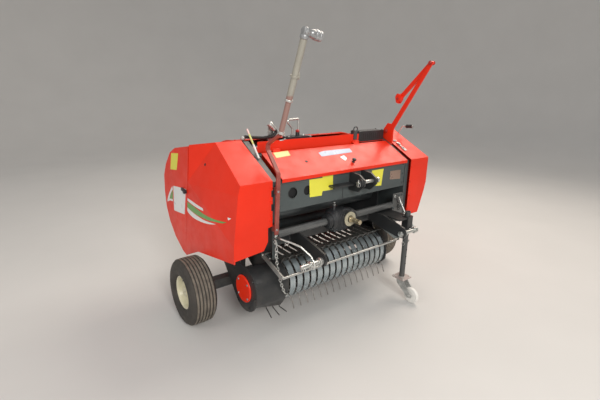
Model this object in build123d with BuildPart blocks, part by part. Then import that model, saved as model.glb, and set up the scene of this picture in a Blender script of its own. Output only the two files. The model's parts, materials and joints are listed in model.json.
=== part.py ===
"""Compact three-point round baler, built up from its real pieces.

Frame of the numbers below: millimetres, +Z up, ground at z = 0, the tractor
side looks along -Y, x = 0 on the wheels' middle plane. Points are written in
"drawing" coordinates where y = 0 is the front face of the covers. Every piece
is shifted by -Y_MID when it is saved, so the saved origin is the middle of the
footprint on the ground.
"""
from build123d import *
from math import cos, sin, radians
import os

os.makedirs("parts", exist_ok=True)

# ---------------------------------------------------------------- main sizes
Y_MID = 386.75                     # middle of the overall length, drawing y
Z_FRONT, Z_TOP, Y_TOP = 1084.0, 1285.0, 371.0   # sloped roof: foot and head
SHEET = 3.0                        # cover sheet thickness
Y_REAR = 1110.0                    # rear edge of the covers
LEFT_OUT, LEFT_IN = -898.5, -618.7     # left cover, outer and inner plane
RIGHT_IN, RIGHT_OUT = 738.0, 972.0     # right cover
FRAME_L = (-605.0, -565.0)         # box-section frame sides, x from / to
FRAME_R = (693.0, 733.0)
CHAMBER = (620.0, 800.0)           # bale chamber axis, y z
ROLL_RING, ROLL_R = 360.0, 55.0    # roller centres about that axis, roller radius
PLATE_IN, PLATE_T = 530.0, 12.0    # chamber wall inner face and thickness
GATE_IN = 547.5                    # tailgate wall inner face
HINGE = (500.0, 1200.0)            # tailgate hinge, y z
AXLE = (510.0, 236.0)              # wheel axis, y z
TYRE_R, TYRE_IN, TYRE_W = 236.0, 118.0, 185.0
TYRE_OUT = 1044.0                  # outer sidewall, |x|
REEL = (160.0, 335.0)              # pickup reel axis, y z
BAND_R, BAND_W, BAND_T = 152.0, 44.0, 3.0
BAND_X0, BAND_PITCH, BAND_N = -442.0, 61.3, 16
SHAFT = (0.0, 740.0)               # power input shaft, x z
TUBE = (30.0, 722.0)               # cross drive tube and gearbox, y z
LIFT = (-225.0, 590.0)             # lower link pins, y z
LEG = (520.0, -170.0)              # parking leg, x y
CASTER_Y, CASTER_R = -274.0, 62.5  # caster wheel axis y and radius
LID = (250.0, 1226.0)              # twine box lid hinge, y z
GUARD = (-130.0, 498.0)            # wind guard rod, y z
GUARD_PIVOT = (95.0, 572.0)


def roof(y, drop=0.0):
    """height of the sloped roof above drawing y, less a drop"""
    return Z_FRONT + (Z_TOP - Z_FRONT) * y / Y_TOP - drop


def yz(x):
    """plane across the machine at x, its own axes are Y and Z"""
    return Plane(origin=(x, 0, 0), x_dir=(0, 1, 0), z_dir=(1, 0, 0))


def xz(y):
    """upright plane at y, its own axes are X and Z, it faces the rear"""
    return Plane(origin=(0, y, 0), x_dir=(-1, 0, 0), z_dir=(0, 1, 0))


def outline(plane, points):
    """closed straight-sided face on a plane"""
    with BuildSketch(plane) as sk:
        with BuildLine():
            Polyline(*points, close=True)
        make_face()
    return sk.sketch


def upright(y, points):
    """closed face on the upright plane at y from (x, z) points"""
    return outline(xz(y), [(-x, z) for x, z in points])


def disc(plane, u, v, r, bore=0.0):
    """round face, with a round hole if a bore is given"""
    with BuildSketch(plane) as sk:
        with Locations((u, v)):
            Circle(r)
            if bore:
                Circle(bore, mode=Mode.SUBTRACT)
    return sk.sketch


def along(p, q):
    """plane at p that faces q"""
    return Plane(origin=p, z_dir=(q[0] - p[0], q[1] - p[1], q[2] - p[2]))


def span(p, q):
    return sum((b - a) ** 2 for a, b in zip(p, q)) ** 0.5


def ring_point(angle, radius=ROLL_RING, axis=CHAMBER):
    """point about an axis, y z, angle from the rearward direction"""
    a = radians(angle)
    return axis[0] + radius * cos(a), axis[1] + radius * sin(a)


def save(piece, name):
    piece.part.label = name
    moved = piece.part.moved(Location((0, -Y_MID, 0)))
    moved.label = name
    export_step(moved, f"parts/{name}.step")


# ------------------------------------------------------------- fixed frame
FRAME_EDGE = [(20, 560), (20, 1072), (371, roof(371, 8)), (596, 1236), (596, 420),
              (400, 420), (330, 520), (200, 560)]
WEB, RIM_T = 6.0, 5.0
# pressed side frames: web on the chamber side, rim turned outwards
with BuildPart() as side_frames:
    for x_web, s in ((FRAME_L[1], -1), (FRAME_R[0], 1)):
        extrude(outline(yz(x_web), FRAME_EDGE), amount=s * 40)
        with BuildSketch(yz(x_web + s * WEB)) as pocket:
            add(outline(Plane.XY, FRAME_EDGE))
            offset(amount=-RIM_T, kind=Kind.INTERSECTION)
        extrude(amount=s * 40, mode=Mode.SUBTRACT)
    extrude(disc(yz(-610), 420, 470, 30.3), amount=60, mode=Mode.SUBTRACT)
save(side_frames, "side_frames")

with BuildPart() as front_beam:
    extrude(upright(25, [(-565, 868), (693, 868), (693, 1072), (-565, 1072)]), amount=10)
    extrude(upright(35, [(-565, 868), (693, 868), (693, 878), (-565, 878)]), amount=60)
    extrude(upright(35, [(-565, 1062), (693, 1062), (693, 1072), (-565, 1072)]), amount=45)
    with Locations((-447, 30, 979), (-323, 30, 978)):
        Cylinder(33, 30, rotation=(90, 0, 0), mode=Mode.SUBTRACT)
save(front_beam, "front_beam")

WALL_EDGE = [(150, 600), (150, 1060), (300, 1150), (452, 1205), (615, 1205), (615, 360),
             (500, 360), (440, 400), (240, 280), (160, 275), (105, 335), (125, 370),
             (182, 520)]
with BuildPart() as chamber_walls:
    for x0 in (-PLATE_IN - PLATE_T, PLATE_IN):
        extrude(outline(yz(x0), WALL_EDGE), amount=PLATE_T)
    for x0 in (-PLATE_IN - PLATE_T, PLATE_IN):
        extrude(disc(yz(x0), *REEL, 17.6), amount=PLATE_T, mode=Mode.SUBTRACT)
        extrude(disc(yz(x0), 420, 470, 30.3), amount=PLATE_T, mode=Mode.SUBTRACT)
save(chamber_walls, "chamber_walls")

FRONT_ROLLERS = (99, 120, 141, 162, 183, 267)      # angles about the chamber axis
with BuildPart() as front_rollers:
    for a in FRONT_ROLLERS:
        extrude(disc(yz(-PLATE_IN), *ring_point(a), ROLL_R, ROLL_R - 6), amount=2 * PLATE_IN)
save(front_rollers, "front_rollers")

# pins that moving parts turn on: x from, x to, y, z, radius
CYL_FOOT, CYL_EYE = (400.0, 600.0), (705.0, 1060.0)
PINS = ((FRAME_L[1], -PLATE_IN - PLATE_T, *HINGE, 15), (PLATE_IN + PLATE_T, FRAME_R[0], *HINGE, 15),
        (-656, FRAME_L[1] - WEB, *CYL_FOOT, 10), (PLATE_IN + PLATE_T, FRAME_R[0], *CYL_FOOT, 10),
        (-640, FRAME_L[1] - WEB, *GUARD_PIVOT, 6), (474, 492, *GUARD_PIVOT, 6))
with BuildPart() as pivot_pins:
    for x0, x1, y, z, r in PINS:
        extrude(disc(yz(x0), y, z, r), amount=x1 - x0)
save(pivot_pins, "pivot_pins")

with BuildPart() as axle:
    extrude(outline(yz(-800), [(475, 201), (545, 201), (545, 271), (475, 271)]), amount=1600)
    for x0, x1 in (FRAME_L, FRAME_R):
        extrude(outline(yz(x0), [(440, 271), (580, 271), (590, 420), (430, 420)]), amount=x1 - x0)
    for s in (-1, 1):
        extrude(disc(yz(s * 800), *AXLE, 20), amount=s * 205)
        extrude(disc(yz(s * 800), *AXLE, 34), amount=s * 40)
save(axle, "axle")

# ------------------------------------------------------------- hitch and drive
ARM_EDGE = [(112, 690), (-40, 690), (-245, 640), (-262, 600), (-250, 562), (-190, 556),
            (-60, 575), (112, 612)]
with BuildPart() as hitch_frame:
    extrude(outline(yz(FRAME_L[1]), [(110, 604), (150, 604), (150, 690), (110, 690)]),
            amount=FRAME_R[0] - FRAME_L[1])
    extrude(outline(yz(464), [(78, 560), (112, 560), (130, 606), (78, 606)]), amount=10)
    for x0 in (-400, 385):
        extrude(outline(yz(x0), ARM_EDGE), amount=15)
        extrude(disc(yz(x0), *LIFT, 14.05), amount=15, mode=Mode.SUBTRACT)
save(hitch_frame, "hitch_frame")

TOP_LINK = (-88.0, 1000.0)         # top link pin, y z
with BuildPart() as hitch_pins:
    for s in (-1, 1):
        extrude(disc(yz(s * 372), *LIFT, 14), amount=s * 193)
        extrude(disc(yz(s * 400), *LIFT, 25), amount=s * 14)
        extrude(disc(yz(s * 372), *LIFT, 21), amount=s * 13)
    extrude(disc(yz(-500), *LIFT, 24), amount=6)
    extrude(disc(yz(28), *TOP_LINK, 12.5), amount=206)
    extrude(disc(yz(222), *TOP_LINK, 20), amount=12)
save(hitch_pins, "hitch_pins")

EAR = [(25, 925), (25, 1060), (-70, 1052), (-122, 1020), (-122, 980), (-70, 930)]
with BuildPart() as top_link_bracket:
    for x0 in (58, 178):
        extrude(outline(yz(x0), EAR), amount=14)
        extrude(disc(yz(x0), *TOP_LINK, 12.55), amount=14, mode=Mode.SUBTRACT)
    extrude(outline(yz(-140), [(25, 974), (25, 982), (-40, 982), (-40, 974)]), amount=198)
save(top_link_bracket, "top_link_bracket")

with BuildPart() as drive_tube:
    for x0, x1 in ((FRAME_L[1], -150), (126, FRAME_R[0])):
        with BuildSketch(yz(x0)):
            with Locations(TUBE):
                RegularPolygon(26, 8, rotation=22.5)
                Circle(19, mode=Mode.SUBTRACT)
        extrude(amount=x1 - x0)
    extrude(upright(6, [(556, 575), (640, 575), (680, 640), (680, 805), (660, 820), (556, 820)]),
            amount=8)
save(drive_tube, "drive_tube")

# gearbox casing turned about the tube axis: x, radius
CASING = ((-150, 34), (-144, 48), (-122, 54), (-114, 66), (-96, 70), (-86, 84), (8, 84),
          (20, 70), (60, 66), (92, 58), (108, 46), (126, 34))
with BuildPart() as gearbox:
    with BuildSketch(Plane(origin=(0, *TUBE), x_dir=(1, 0, 0), z_dir=(0, -1, 0))):
        with BuildLine():
            Polyline((CASING[0][0], 0), *CASING, (CASING[-1][0], 0), close=True)
        make_face()
    revolve(axis=Axis((0, *TUBE), (1, 0, 0)))
    extrude(disc(Plane.XZ, *SHAFT, 46), amount=56)
    extrude(disc(Plane.XZ.offset(-2), *SHAFT, 17.6), amount=80, mode=Mode.SUBTRACT)
    extrude(disc(Plane.XY.offset(780), -82, 20, 10), amount=72)
save(gearbox, "gearbox")

with BuildPart() as drive_guard:
    extrude(disc(Plane.XZ.offset(56), *SHAFT, 48, 25), amount=9)
save(drive_guard, "drive_guard")

with BuildPart() as input_shaft:
    extrude(disc(Plane.XZ.offset(4), *SHAFT, 17.5), amount=157)
    chamfer(input_shaft.edges().group_by(Axis.Y)[0], 3)
    extrude(disc(Plane.XZ.offset(70), *SHAFT, 22), amount=8)
    with BuildSketch(Plane.XZ.offset(88)):
        with Locations(SHAFT):
            with PolarLocations(17.5, 6, start_angle=6):
                Rectangle(7, 2.2)
    extrude(amount=80, mode=Mode.SUBTRACT)
save(input_shaft, "input_shaft")

# ------------------------------------------------------------- parking leg
with BuildPart() as leg_sleeve:
    with BuildSketch(Plane.XY.offset(600)):
        with Locations(LEG):
            RectangleRounded(62, 62, 8)
            Circle(21.1, mode=Mode.SUBTRACT)
    extrude(amount=95)
    with BuildSketch(Plane.XY.offset(676)):
        with BuildLine():
            Polyline((400, 110), (400, -190), (489, -190), (489, -139), (551, -139), (551, 110),
                     close=True)
        make_face()
    extrude(amount=12)
save(leg_sleeve, "leg_sleeve")

with BuildPart() as leg_tube:
    extrude(disc(Plane.XY.offset(184), *LEG, 21, 15), amount=546)
    with BuildSketch(Plane.XY.offset(176)):
        with Locations(LEG):
            RectangleRounded(112, 112, 8)
    extrude(amount=8)
    extrude(disc(Plane.XY.offset(140), *LEG, 8), amount=36)
save(leg_tube, "leg_tube")

FORK = [(-206, 165), (-140, 165), (-150, 128), (-256, 46), (-288, 48), (-294, 72), (-226, 140)]
with BuildPart() as caster_fork:
    extrude(disc(Plane.XY.offset(160), *LEG, 36), amount=15)
    for x0 in (LEG[0] - 28, LEG[0] + 23):
        extrude(outline(yz(x0), FORK), amount=5)
    extrude(disc(yz(LEG[0] - 28), CASTER_Y, CASTER_R, 6), amount=56)
    extrude(disc(Plane.XY.offset(139), *LEG, 8.05), amount=60, mode=Mode.SUBTRACT)
save(caster_fork, "caster_fork")

with BuildPart() as caster_wheel:
    extrude(disc(yz(LEG[0] - 16), CASTER_Y, CASTER_R, CASTER_R, 6.05), amount=32)
    fillet(caster_wheel.edges().filter_by(GeomType.CIRCLE).sort_by(SortBy.RADIUS)[-2:], 8)
save(caster_wheel, "caster_wheel")

# ------------------------------------------------------------- wheels
# tyre section, distance out from the inner sidewall and radius
TYRE = ((22, 118), (4, 150), (0, 178), (8, 212), (26, 230), (50, 236), (135, 236), (159, 230),
        (177, 212), (185, 178), (181, 150), (163, 118))
# rim section, same columns
RIM = ((20, 60), (20, 117.6), (165, 117.6), (165, 106), (148, 100), (120, 92), (112, 40),
       (150, 34), (150, 20.1), (60, 20.1), (60, 60))
for name, s in (("left", -1), ("right", 1)):
    x_in = s * (TYRE_OUT - TYRE_W)
    turn = Axis((0, AXLE[0], AXLE[1]), (1, 0, 0))
    face = Plane(origin=(x_in, AXLE[0], AXLE[1]), x_dir=(s, 0, 0), z_dir=(0, -s, 0))
    with BuildPart() as tyre:
        with BuildSketch(face):
            with BuildLine():
                Polyline(*TYRE, close=True)
            make_face()
        revolve(axis=turn)
    save(tyre, f"tyre_{name}")
    with BuildPart() as rim:
        with BuildSketch(face):
            with BuildLine():
                Polyline(*RIM, close=True)
            make_face()
        revolve(axis=turn)
    save(rim, f"rim_{name}")

# ------------------------------------------------------------- pickup
with BuildSketch(yz(BAND_X0 - BAND_W / 2)) as band_face:
    with BuildLine():
        l1 = Line((424, REEL[1] + BAND_R + 13), (250, REEL[1] + BAND_R))
        l2 = Line(l1 @ 1, (REEL[0], REEL[1] + BAND_R))
        l3 = ThreePointArc(l2 @ 1, (REEL[0] - BAND_R, REEL[1]), (REEL[0], REEL[1] - BAND_R))
        l4 = Line(l3 @ 1, (424, 222))
        l5 = Line(l4 @ 1, (424, 225))
        l6 = Line(l5 @ 1, (REEL[0], REEL[1] - BAND_R + BAND_T))
        l7 = ThreePointArc(l6 @ 1, (REEL[0] - BAND_R + BAND_T, REEL[1]),
                           (REEL[0], REEL[1] + BAND_R - BAND_T))
        l8 = Line(l7 @ 1, (250, REEL[1] + BAND_R - BAND_T))
        l9 = Line(l8 @ 1, (424, REEL[1] + BAND_R + 10))
        Line(l9 @ 1, l1 @ 0)
    make_face()
with BuildPart() as pickup_bands:
    for k in range(BAND_N):
        extrude(band_face.sketch.moved(Location((k * BAND_PITCH, 0, 0))), amount=BAND_W)
    extrude(disc(yz(-727), 420, 470, 30, 25), amount=1232)
    extrude(outline(yz(-470), [(418, 222), (450, 222), (450, 250), (418, 250)]), amount=970)
save(pickup_bands, "pickup_bands")

# left plate is round about the reel and reaches back to the band bar, right plate is a panel
ROUND_PLATE = [ring_point(a, 160, REEL) for a in range(104, 305, 10)] + [(455, 432), (462, 500), (400, 508)]
SIDE_PLATE = [(160, 170), (60, 205), (0, 275), (-5, 345), (30, 430), (100, 490), (200, 505),
              (380, 520), (470, 500), (470, 440), (330, 330), (260, 220)]
with BuildPart() as pickup_side_plates:
    for x0, edge in ((-735, ROUND_PLATE), (505, SIDE_PLATE)):
        extrude(outline(yz(x0), edge), amount=8)
        extrude(disc(yz(x0), *REEL, 17.6), amount=8, mode=Mode.SUBTRACT)
save(pickup_side_plates, "pickup_side_plates")

# guard sheet over the drive end of the reel: an arc, then a flat skirt cut on the slant,
# with three fixed fingers hooked round its edge: x, then y z of the tip
GUARD_X = (-727.0, -482.0)
GUARD_R, SKIRT_AT, SKIRT_LONG = 155.0, 215.0, 118.0
FINGERS = ((-621, (5, 150)), (-558, (5, 147)), (-498, (5, 152)))
with BuildPart() as pickup_guard:
    with BuildSketch(yz(GUARD_X[0])):
        with BuildLine():
            a0, a1, am = (ring_point(a, GUARD_R, REEL) for a in (98, SKIRT_AT, 160))
            b0, b1, bm = (ring_point(a, GUARD_R - 4, REEL) for a in (98, SKIRT_AT, 160))
            ThreePointArc(a0, am, a1)
            Line(a1, b1)
            ThreePointArc(b1, bm, b0)
            Line(b0, a0)
        make_face()
    extrude(amount=GUARD_X[1] - GUARD_X[0])
    lean = (cos(radians(SKIRT_AT)), sin(radians(SKIRT_AT)))
    skirt = Plane(origin=(GUARD_X[0], *a1), x_dir=(1, 0, 0), z_dir=(0, *lean))
    extrude(outline(skirt, [(0, 0.5), (0, -0.5), (GUARD_X[1] - GUARD_X[0], -SKIRT_LONG),
                            (GUARD_X[1] - GUARD_X[0], 0.5)]), amount=-4)
    for x, tip in FINGERS:
        edge = SKIRT_LONG * (x - GUARD_X[0]) / (GUARD_X[1] - GUARD_X[0])
        root, bend = ((a1[0] - lean[1] * d - lean[0] * 7, a1[1] + lean[0] * d - lean[1] * 7)
                      for d in (edge - 28, edge + 14))
        with BuildLine() as finger_path:
            FilletPolyline((x, *root), (x, *bend), (x, *tip), radius=14)
        with BuildSketch(Plane(origin=finger_path.line @ 0, z_dir=finger_path.line % 0)):
            Circle(3.5)
        sweep(path=finger_path.line)
save(pickup_guard, "pickup_guard")

with BuildPart() as pickup_cap:
    extrude(disc(yz(-747), *REEL, 90), amount=12)
    fillet(pickup_cap.edges().group_by(Axis.X)[0], 6)
save(pickup_cap, "pickup_cap")

TINE_R, TINE_D, BARS = 250.0, 7.0, 4
with BuildPart() as pickup_reel:
    extrude(disc(yz(-733), *REEL, 17.5), amount=1290)
    for x0 in (-462, -3, 484):
        extrude(disc(yz(x0), *REEL, 124), amount=6)
    for b in range(BARS):
        a = 20 + 90 * b
        cy, cz = ring_point(a, 104, REEL)
        extrude(disc(yz(-478), cy, cz, 11), amount=968)
        for k in range(-1, BAND_N - 1):
            x = BAND_X0 + (k + 0.5) * BAND_PITCH
            p = (x, *ring_point(a, 100, REEL))
            q = (x, *ring_point(a + 4, 196, REEL))
            r = (x, *ring_point(a + 15, TINE_R, REEL))
            with BuildLine() as tine_path:
                FilletPolyline(p, q, r, radius=60)
            with BuildSketch(Plane(origin=tine_path.line @ 0, z_dir=tine_path.line % 0)):
                Circle(TINE_D / 2)
            sweep(path=tine_path.line)
save(pickup_reel, "pickup_reel")

with BuildPart() as wind_guard:
    extrude(disc(yz(-636), *GUARD, 8), amount=1122)
    for x0 in (-636, 478):
        arm = outline(yz(x0), [(GUARD[0] - 8, GUARD[1] + 14), (GUARD[0] + 12, GUARD[1] - 14),
                               (GUARD_PIVOT[0] + 10, GUARD_PIVOT[1] - 13),
                               (GUARD_PIVOT[0] + 10, GUARD_PIVOT[1] + 13),
                               (GUARD_PIVOT[0] - 12, GUARD_PIVOT[1] + 13)])
        extrude(arm, amount=8)
        extrude(disc(yz(x0), *GUARD_PIVOT, 6.05), amount=8, mode=Mode.SUBTRACT)
save(wind_guard, "wind_guard")

# ------------------------------------------------------------- left covers
FRONT_SIDE = [(0, 611), (0, Z_FRONT), (Y_TOP, Z_TOP), (577, 1249.5), (731, 402), (510, 511),
              (430, 527)]
SEAM = (LEFT_OUT, 583, 1249)       # top of the slanted seam between the left cover and its door
# folds of the left cover, each a point and the inward normal of the leaning panel
FOLD_TOP = ((-856.8, 0, 1026), (1, 0.0497, -0.2674))       # upper front panel
FOLD_MID = ((LEFT_OUT, 0, 640), (1, 0.0615, -0.108))       # middle front panel
FOLD_CORNER = (SEAM, (229, 98.5, 17.75))                   # upper triangle at the door
FOLD_LOW = ((-890.5, 0, 714), (1, 0.01333, 0))             # lower front panel
FOLD_DOOR = ((LEFT_OUT, 600, 677), (107805, 200, 2200))    # lower panel of the door


def fold(data, inward=True):
    point, normal = data
    return Plane(origin=point, z_dir=normal if inward else tuple(-n for n in normal))


with BuildPart() as shoulder:
    with Locations((LEFT_OUT, 300, 1200)):
        Box(600, 800, 700)
    split(bisect_by=fold(FOLD_TOP, inward=False), keep=Keep.TOP)
    split(bisect_by=fold(FOLD_CORNER, inward=False), keep=Keep.TOP)

with BuildPart() as cheek:
    with Locations((LEFT_OUT, 300, 1200)):
        Box(600, 1100, 1400)
    split(bisect_by=fold(FOLD_MID, inward=False), keep=Keep.TOP)
    split(bisect_by=fold(FOLD_CORNER, inward=False), keep=Keep.TOP)

with BuildPart() as left_front_cover:
    extrude(outline(yz(LEFT_OUT), FRONT_SIDE), amount=LEFT_IN - LEFT_OUT)
    split(bisect_by=fold(FOLD_LOW), keep=Keep.TOP)
    add(shoulder.part, mode=Mode.SUBTRACT)
    add(cheek.part, mode=Mode.SUBTRACT)
    openings = [f for f in left_front_cover.faces()
                if f.normal_at().X > 0.99 or f.normal_at().Y > 0.9
                or (f.normal_at().Z < -0.5 and f.center().Z < 640)]
    offset(amount=-SHEET, openings=openings, kind=Kind.INTERSECTION)
    # the front sheet's lower inner corner is cut back
    extrude(upright(-5, [(-886, 560), (-883, 627), (-683, 646), (-652, 700), (-652, 790),
                         (-600, 800), (-600, 560)]), amount=30, mode=Mode.SUBTRACT)
save(left_front_cover, "left_front_cover")

REAR_SIDE = [(586, 1239.5), (834, 1196), (941, 1149), (1046, 1044), (1101, 949), (1110, 820),
             (1095, 698), (1036, 586), (942, 486), (800, 410), (740, 400)]
# hinge pins of the two doors, x y, and heights of the rails that carry them
DOOR_PINS = {"left": (-846.0, 1072.0), "right": (889.0, 1072.0)}
RAILS, RAIL_H = ((795, 1107), (690, 1098)), 40     # foot of the rail, rear end of its lug
with BuildPart() as left_rear_door:
    extrude(outline(yz(LEFT_OUT), REAR_SIDE), amount=45)
    split(bisect_by=fold(FOLD_DOOR), keep=Keep.TOP)
    door_open = [f for f in left_rear_door.faces() if f.normal_at().X > 0.99]
    offset(amount=-SHEET, openings=door_open, kind=Kind.INTERSECTION)
    for z0, y1 in RAILS:
        with BuildSketch(Plane.XY.offset(z0 + RAIL_H + 2)):
            with BuildLine():
                Polyline((-880, 1060), (-834, 1060), (-834, y1), (-880, y1), close=True)
            make_face()
            with Locations(DOOR_PINS["left"]):
                Circle(5.05, mode=Mode.SUBTRACT)
        extrude(amount=6)
save(left_rear_door, "left_rear_door")

# ------------------------------------------------------------- right cover
RIGHT_SIDE = [(0, 611), (0, Z_FRONT), (Y_TOP, Z_TOP), (600, 1245), (834, 1196), (941, 1149),
              (1046, 1044), (1101, 949), (1110, 820), (1095, 698), (1036, 586), (942, 486),
              (800, 410), (738, 400), (690, 455), (600, 507), (515, 521), (430, 524)]
with BuildPart() as right_cover:
    extrude(outline(yz(RIGHT_IN), RIGHT_SIDE), amount=RIGHT_OUT - RIGHT_IN)
    extrude(upright(-5, [(RIGHT_IN, 390), (RIGHT_IN, 1290), (950, 1290), (RIGHT_OUT, 1085),
                         (RIGHT_OUT, 870), (955, 798), (895, 620), (870, 390)]),
            amount=1200, mode=Mode.INTERSECT)
    gap = [f for f in right_cover.faces()
           if f.normal_at().X < -0.99
           or (f.normal_at().Z < -0.3 and f.center().Z < 640 and abs(f.normal_at().X) < 0.2)]
    offset(amount=-SHEET, openings=gap, kind=Kind.INTERSECTION)
    for z0, y1 in RAILS:
        with BuildSketch(Plane.XY.offset(z0 + RAIL_H + 2)):
            with BuildLine():
                Polyline((877, 1060), (901, 1060), (901, y1), (877, y1), close=True)
            make_face()
            with Locations(DOOR_PINS["right"]):
                Circle(5.05, mode=Mode.SUBTRACT)
        extrude(amount=6)
save(right_cover, "right_cover")

# rails that carry the two doors from behind: outer face of the frame side, door pin
with BuildPart() as cover_rails:
    for x_frame, side in ((FRAME_L[1] - WEB, "left"), (FRAME_R[0] + WEB, "right")):
        s = 1 if x_frame > 0 else -1
        px, py = DOOR_PINS[side]
        for z0, y1 in RAILS:
            with BuildSketch(Plane.XY.offset(z0)):
                with BuildLine():
                    Polyline((x_frame, 500), (x_frame, 588), (x_frame + s * 36, 588),
                             (px - s * 4, 720), (px - s * 4, py + 4), (px + s * 4, py + 4),
                             (px + s * 4, 716), (x_frame + s * 40, 580), (x_frame + s * 8, 580),
                             (x_frame + s * 8, 500), close=True)
                make_face()
            extrude(amount=RAIL_H)
            with BuildSketch(Plane.XY.offset(z0 - 4)):
                with Locations((px, py)):
                    Circle(5)
            extrude(amount=RAIL_H + 14)
save(cover_rails, "cover_rails")

# ------------------------------------------------------------- twine box
with BuildPart() as twine_box:
    extrude(outline(yz(-528), [(100, 978), (261, 978), (261, 1100), (264, 1100), (264, 975),
                               (97, 975), (97, 1120), (100, 1120)]), amount=911)
    extrude(outline(yz(-562), [(261, 1212), (261, Z_TOP), (264, Z_TOP), (264, 1212)]), amount=945)
    extrude(outline(yz(-528), [(261, 1090), (261, 1220), (264, 1220), (264, 1090)]), amount=911)
    for x0 in (-528, 380):
        extrude(outline(yz(x0), [(100, 978), (261, 978), (261, 1214), (100, 1126)]), amount=3)
    for x0 in (-462, 300):
        for x1 in (x0, x0 + 68):
            extrude(outline(yz(x1), [(243, 1219), (262, 1219), (262, 1233), (243, 1233)]), amount=4)
        extrude(disc(yz(x0), *LID, 4), amount=72)
    extrude(outline(yz(-PLATE_IN - PLATE_T), [(263, 1215), (440, 1215), (440, 1219), (263, 1219)]),
            amount=PLATE_IN + PLATE_T + 690)
save(twine_box, "twine_box")

with BuildPart() as top_lid:
    extrude(outline(yz(-546), [(0, roof(0)), (238, roof(238)), (238, roof(238, 4)), (4, roof(4, 4)),
                               (4, 1062), (0, 1062)]), amount=1234)
    for x0 in (-462, 300):
        extrude(disc(yz(x0 + 7), *LID, 7), amount=58)
        extrude(outline(yz(x0 + 7), [(228, roof(228, 2)), (236, roof(236, 4)), (LID[0], LID[1] - 6),
                                     (LID[0] - 6, LID[1])]), amount=58)
        extrude(disc(yz(x0 + 7), *LID, 4.05), amount=58, mode=Mode.SUBTRACT)
save(top_lid, "top_lid")

with BuildPart() as control_box:
    extrude(outline(yz(392), [(266, 1219), (360, 1219), (360, 1300), (266, 1300)]), amount=296)
save(control_box, "control_box")

# ------------------------------------------------------------- tailgate
GATE_EDGE = [(462, 1168), (462, 1225), (480, 1240), (540, 1246)]
LUG = [(640, 1010), (740, 1010), (740, 1080), (700, 1095), (640, 1060)]
with BuildPart() as tailgate_walls:
    for x0 in (-GATE_IN - PLATE_T - 62, GATE_IN + PLATE_T):
        extrude(outline(yz(x0), LUG), amount=62)
    for x0 in (-GATE_IN - PLATE_T, GATE_IN):
        with BuildSketch(yz(x0)):
            with BuildLine():
                g0, g1, g2 = (ring_point(a, 452) for a in (97, 0, -80))
                Line(GATE_EDGE[-1], g0)
                ThreePointArc(g0, g1, g2)
                Polyline(g2, (630, 352), (604, 380), (604, 1130), (540, 1160), *GATE_EDGE)
            make_face()
        extrude(amount=PLATE_T)
        extrude(disc(yz(x0), *HINGE, 15.05), amount=PLATE_T, mode=Mode.SUBTRACT)
save(tailgate_walls, "tailgate_walls")

GATE_ROLLERS = (78, 57, 36, 15, -6, -27, -48, -69)     # angles about the chamber axis
with BuildPart() as tailgate_rollers:
    for a in GATE_ROLLERS:
        extrude(disc(yz(-GATE_IN), *ring_point(a), ROLL_R, ROLL_R - 6), amount=2 * GATE_IN)
save(tailgate_rollers, "tailgate_rollers")

with BuildPart() as tailgate_skin:
    with BuildSketch(yz(-GATE_IN)):
        with BuildLine():
            a0, a1, am = (ring_point(a, 449) for a in (92, 5, 50))
            b0, b1, bm = (ring_point(a, 445) for a in (92, 5, 50))
            ThreePointArc(a0, am, a1)
            Line(a1, b1)
            ThreePointArc(b1, bm, b0)
            Line(b0, a0)
        make_face()
    extrude(amount=2 * GATE_IN)
    extrude(outline(yz(-GATE_IN), [(1010, 570), (1055, 570), (1055, 630), (1010, 630)]),
            amount=2 * GATE_IN)
save(tailgate_skin, "tailgate_skin")

# lift cylinders: side, x of the cylinder
CYL = (("left", -640.0), ("right", 640.0))
CYL_LINE = Vector(0, CYL_EYE[0] - CYL_FOOT[0], CYL_EYE[1] - CYL_FOOT[1]).normalized()
for name, cx in CYL:
    foot = Vector(cx, *CYL_FOOT)
    with BuildPart() as barrel:
        extrude(disc(Plane(origin=foot + CYL_LINE * 14, z_dir=CYL_LINE), 0, 0, 25), amount=440)
        extrude(disc(yz(cx - 12), *CYL_FOOT, 20), amount=24)
        extrude(disc(yz(cx - 12), *CYL_FOOT, 10.05), amount=24, mode=Mode.SUBTRACT)
        extrude(disc(Plane(origin=foot + CYL_LINE * 36, z_dir=CYL_LINE), 0, 0, 13.05), amount=440,
                mode=Mode.SUBTRACT)
    save(barrel, f"cylinder_barrel_{name}")
    with BuildPart() as rod:
        extrude(disc(Plane(origin=foot + CYL_LINE * 60, z_dir=CYL_LINE), 0, 0, 13), amount=478)
        extrude(disc(yz(cx - 12), *CYL_EYE, 20), amount=24)
        extrude(disc(yz(cx - 12), *CYL_EYE, 10.05), amount=24, mode=Mode.SUBTRACT)
    save(rod, f"cylinder_rod_{name}")

# ------------------------------------------------------------- things on top
CARRIER = [(-604, -20, 745), (-591, -20, 1130), (-580, 112, 1256), (-578, 112, 1290), (-578, -14, 1360)]
with BuildPart() as shaft_carrier:
    with BuildLine() as carrier_path:
        FilletPolyline(*CARRIER, radius=25)
    with BuildSketch(Plane(origin=carrier_path.line @ 0, x_dir=(1, 0, 0), z_dir=carrier_path.line % 0)):
        Rectangle(26, 12)
    sweep(path=carrier_path.line)
    for x0, z0 in ((-606, 1000), (-613, 760)):
        extrude(outline(yz(x0), [(-18, z0), (20, z0), (20, z0 + 40), (-18, z0 + 40)]), amount=30)
save(shaft_carrier, "shaft_carrier")

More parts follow.
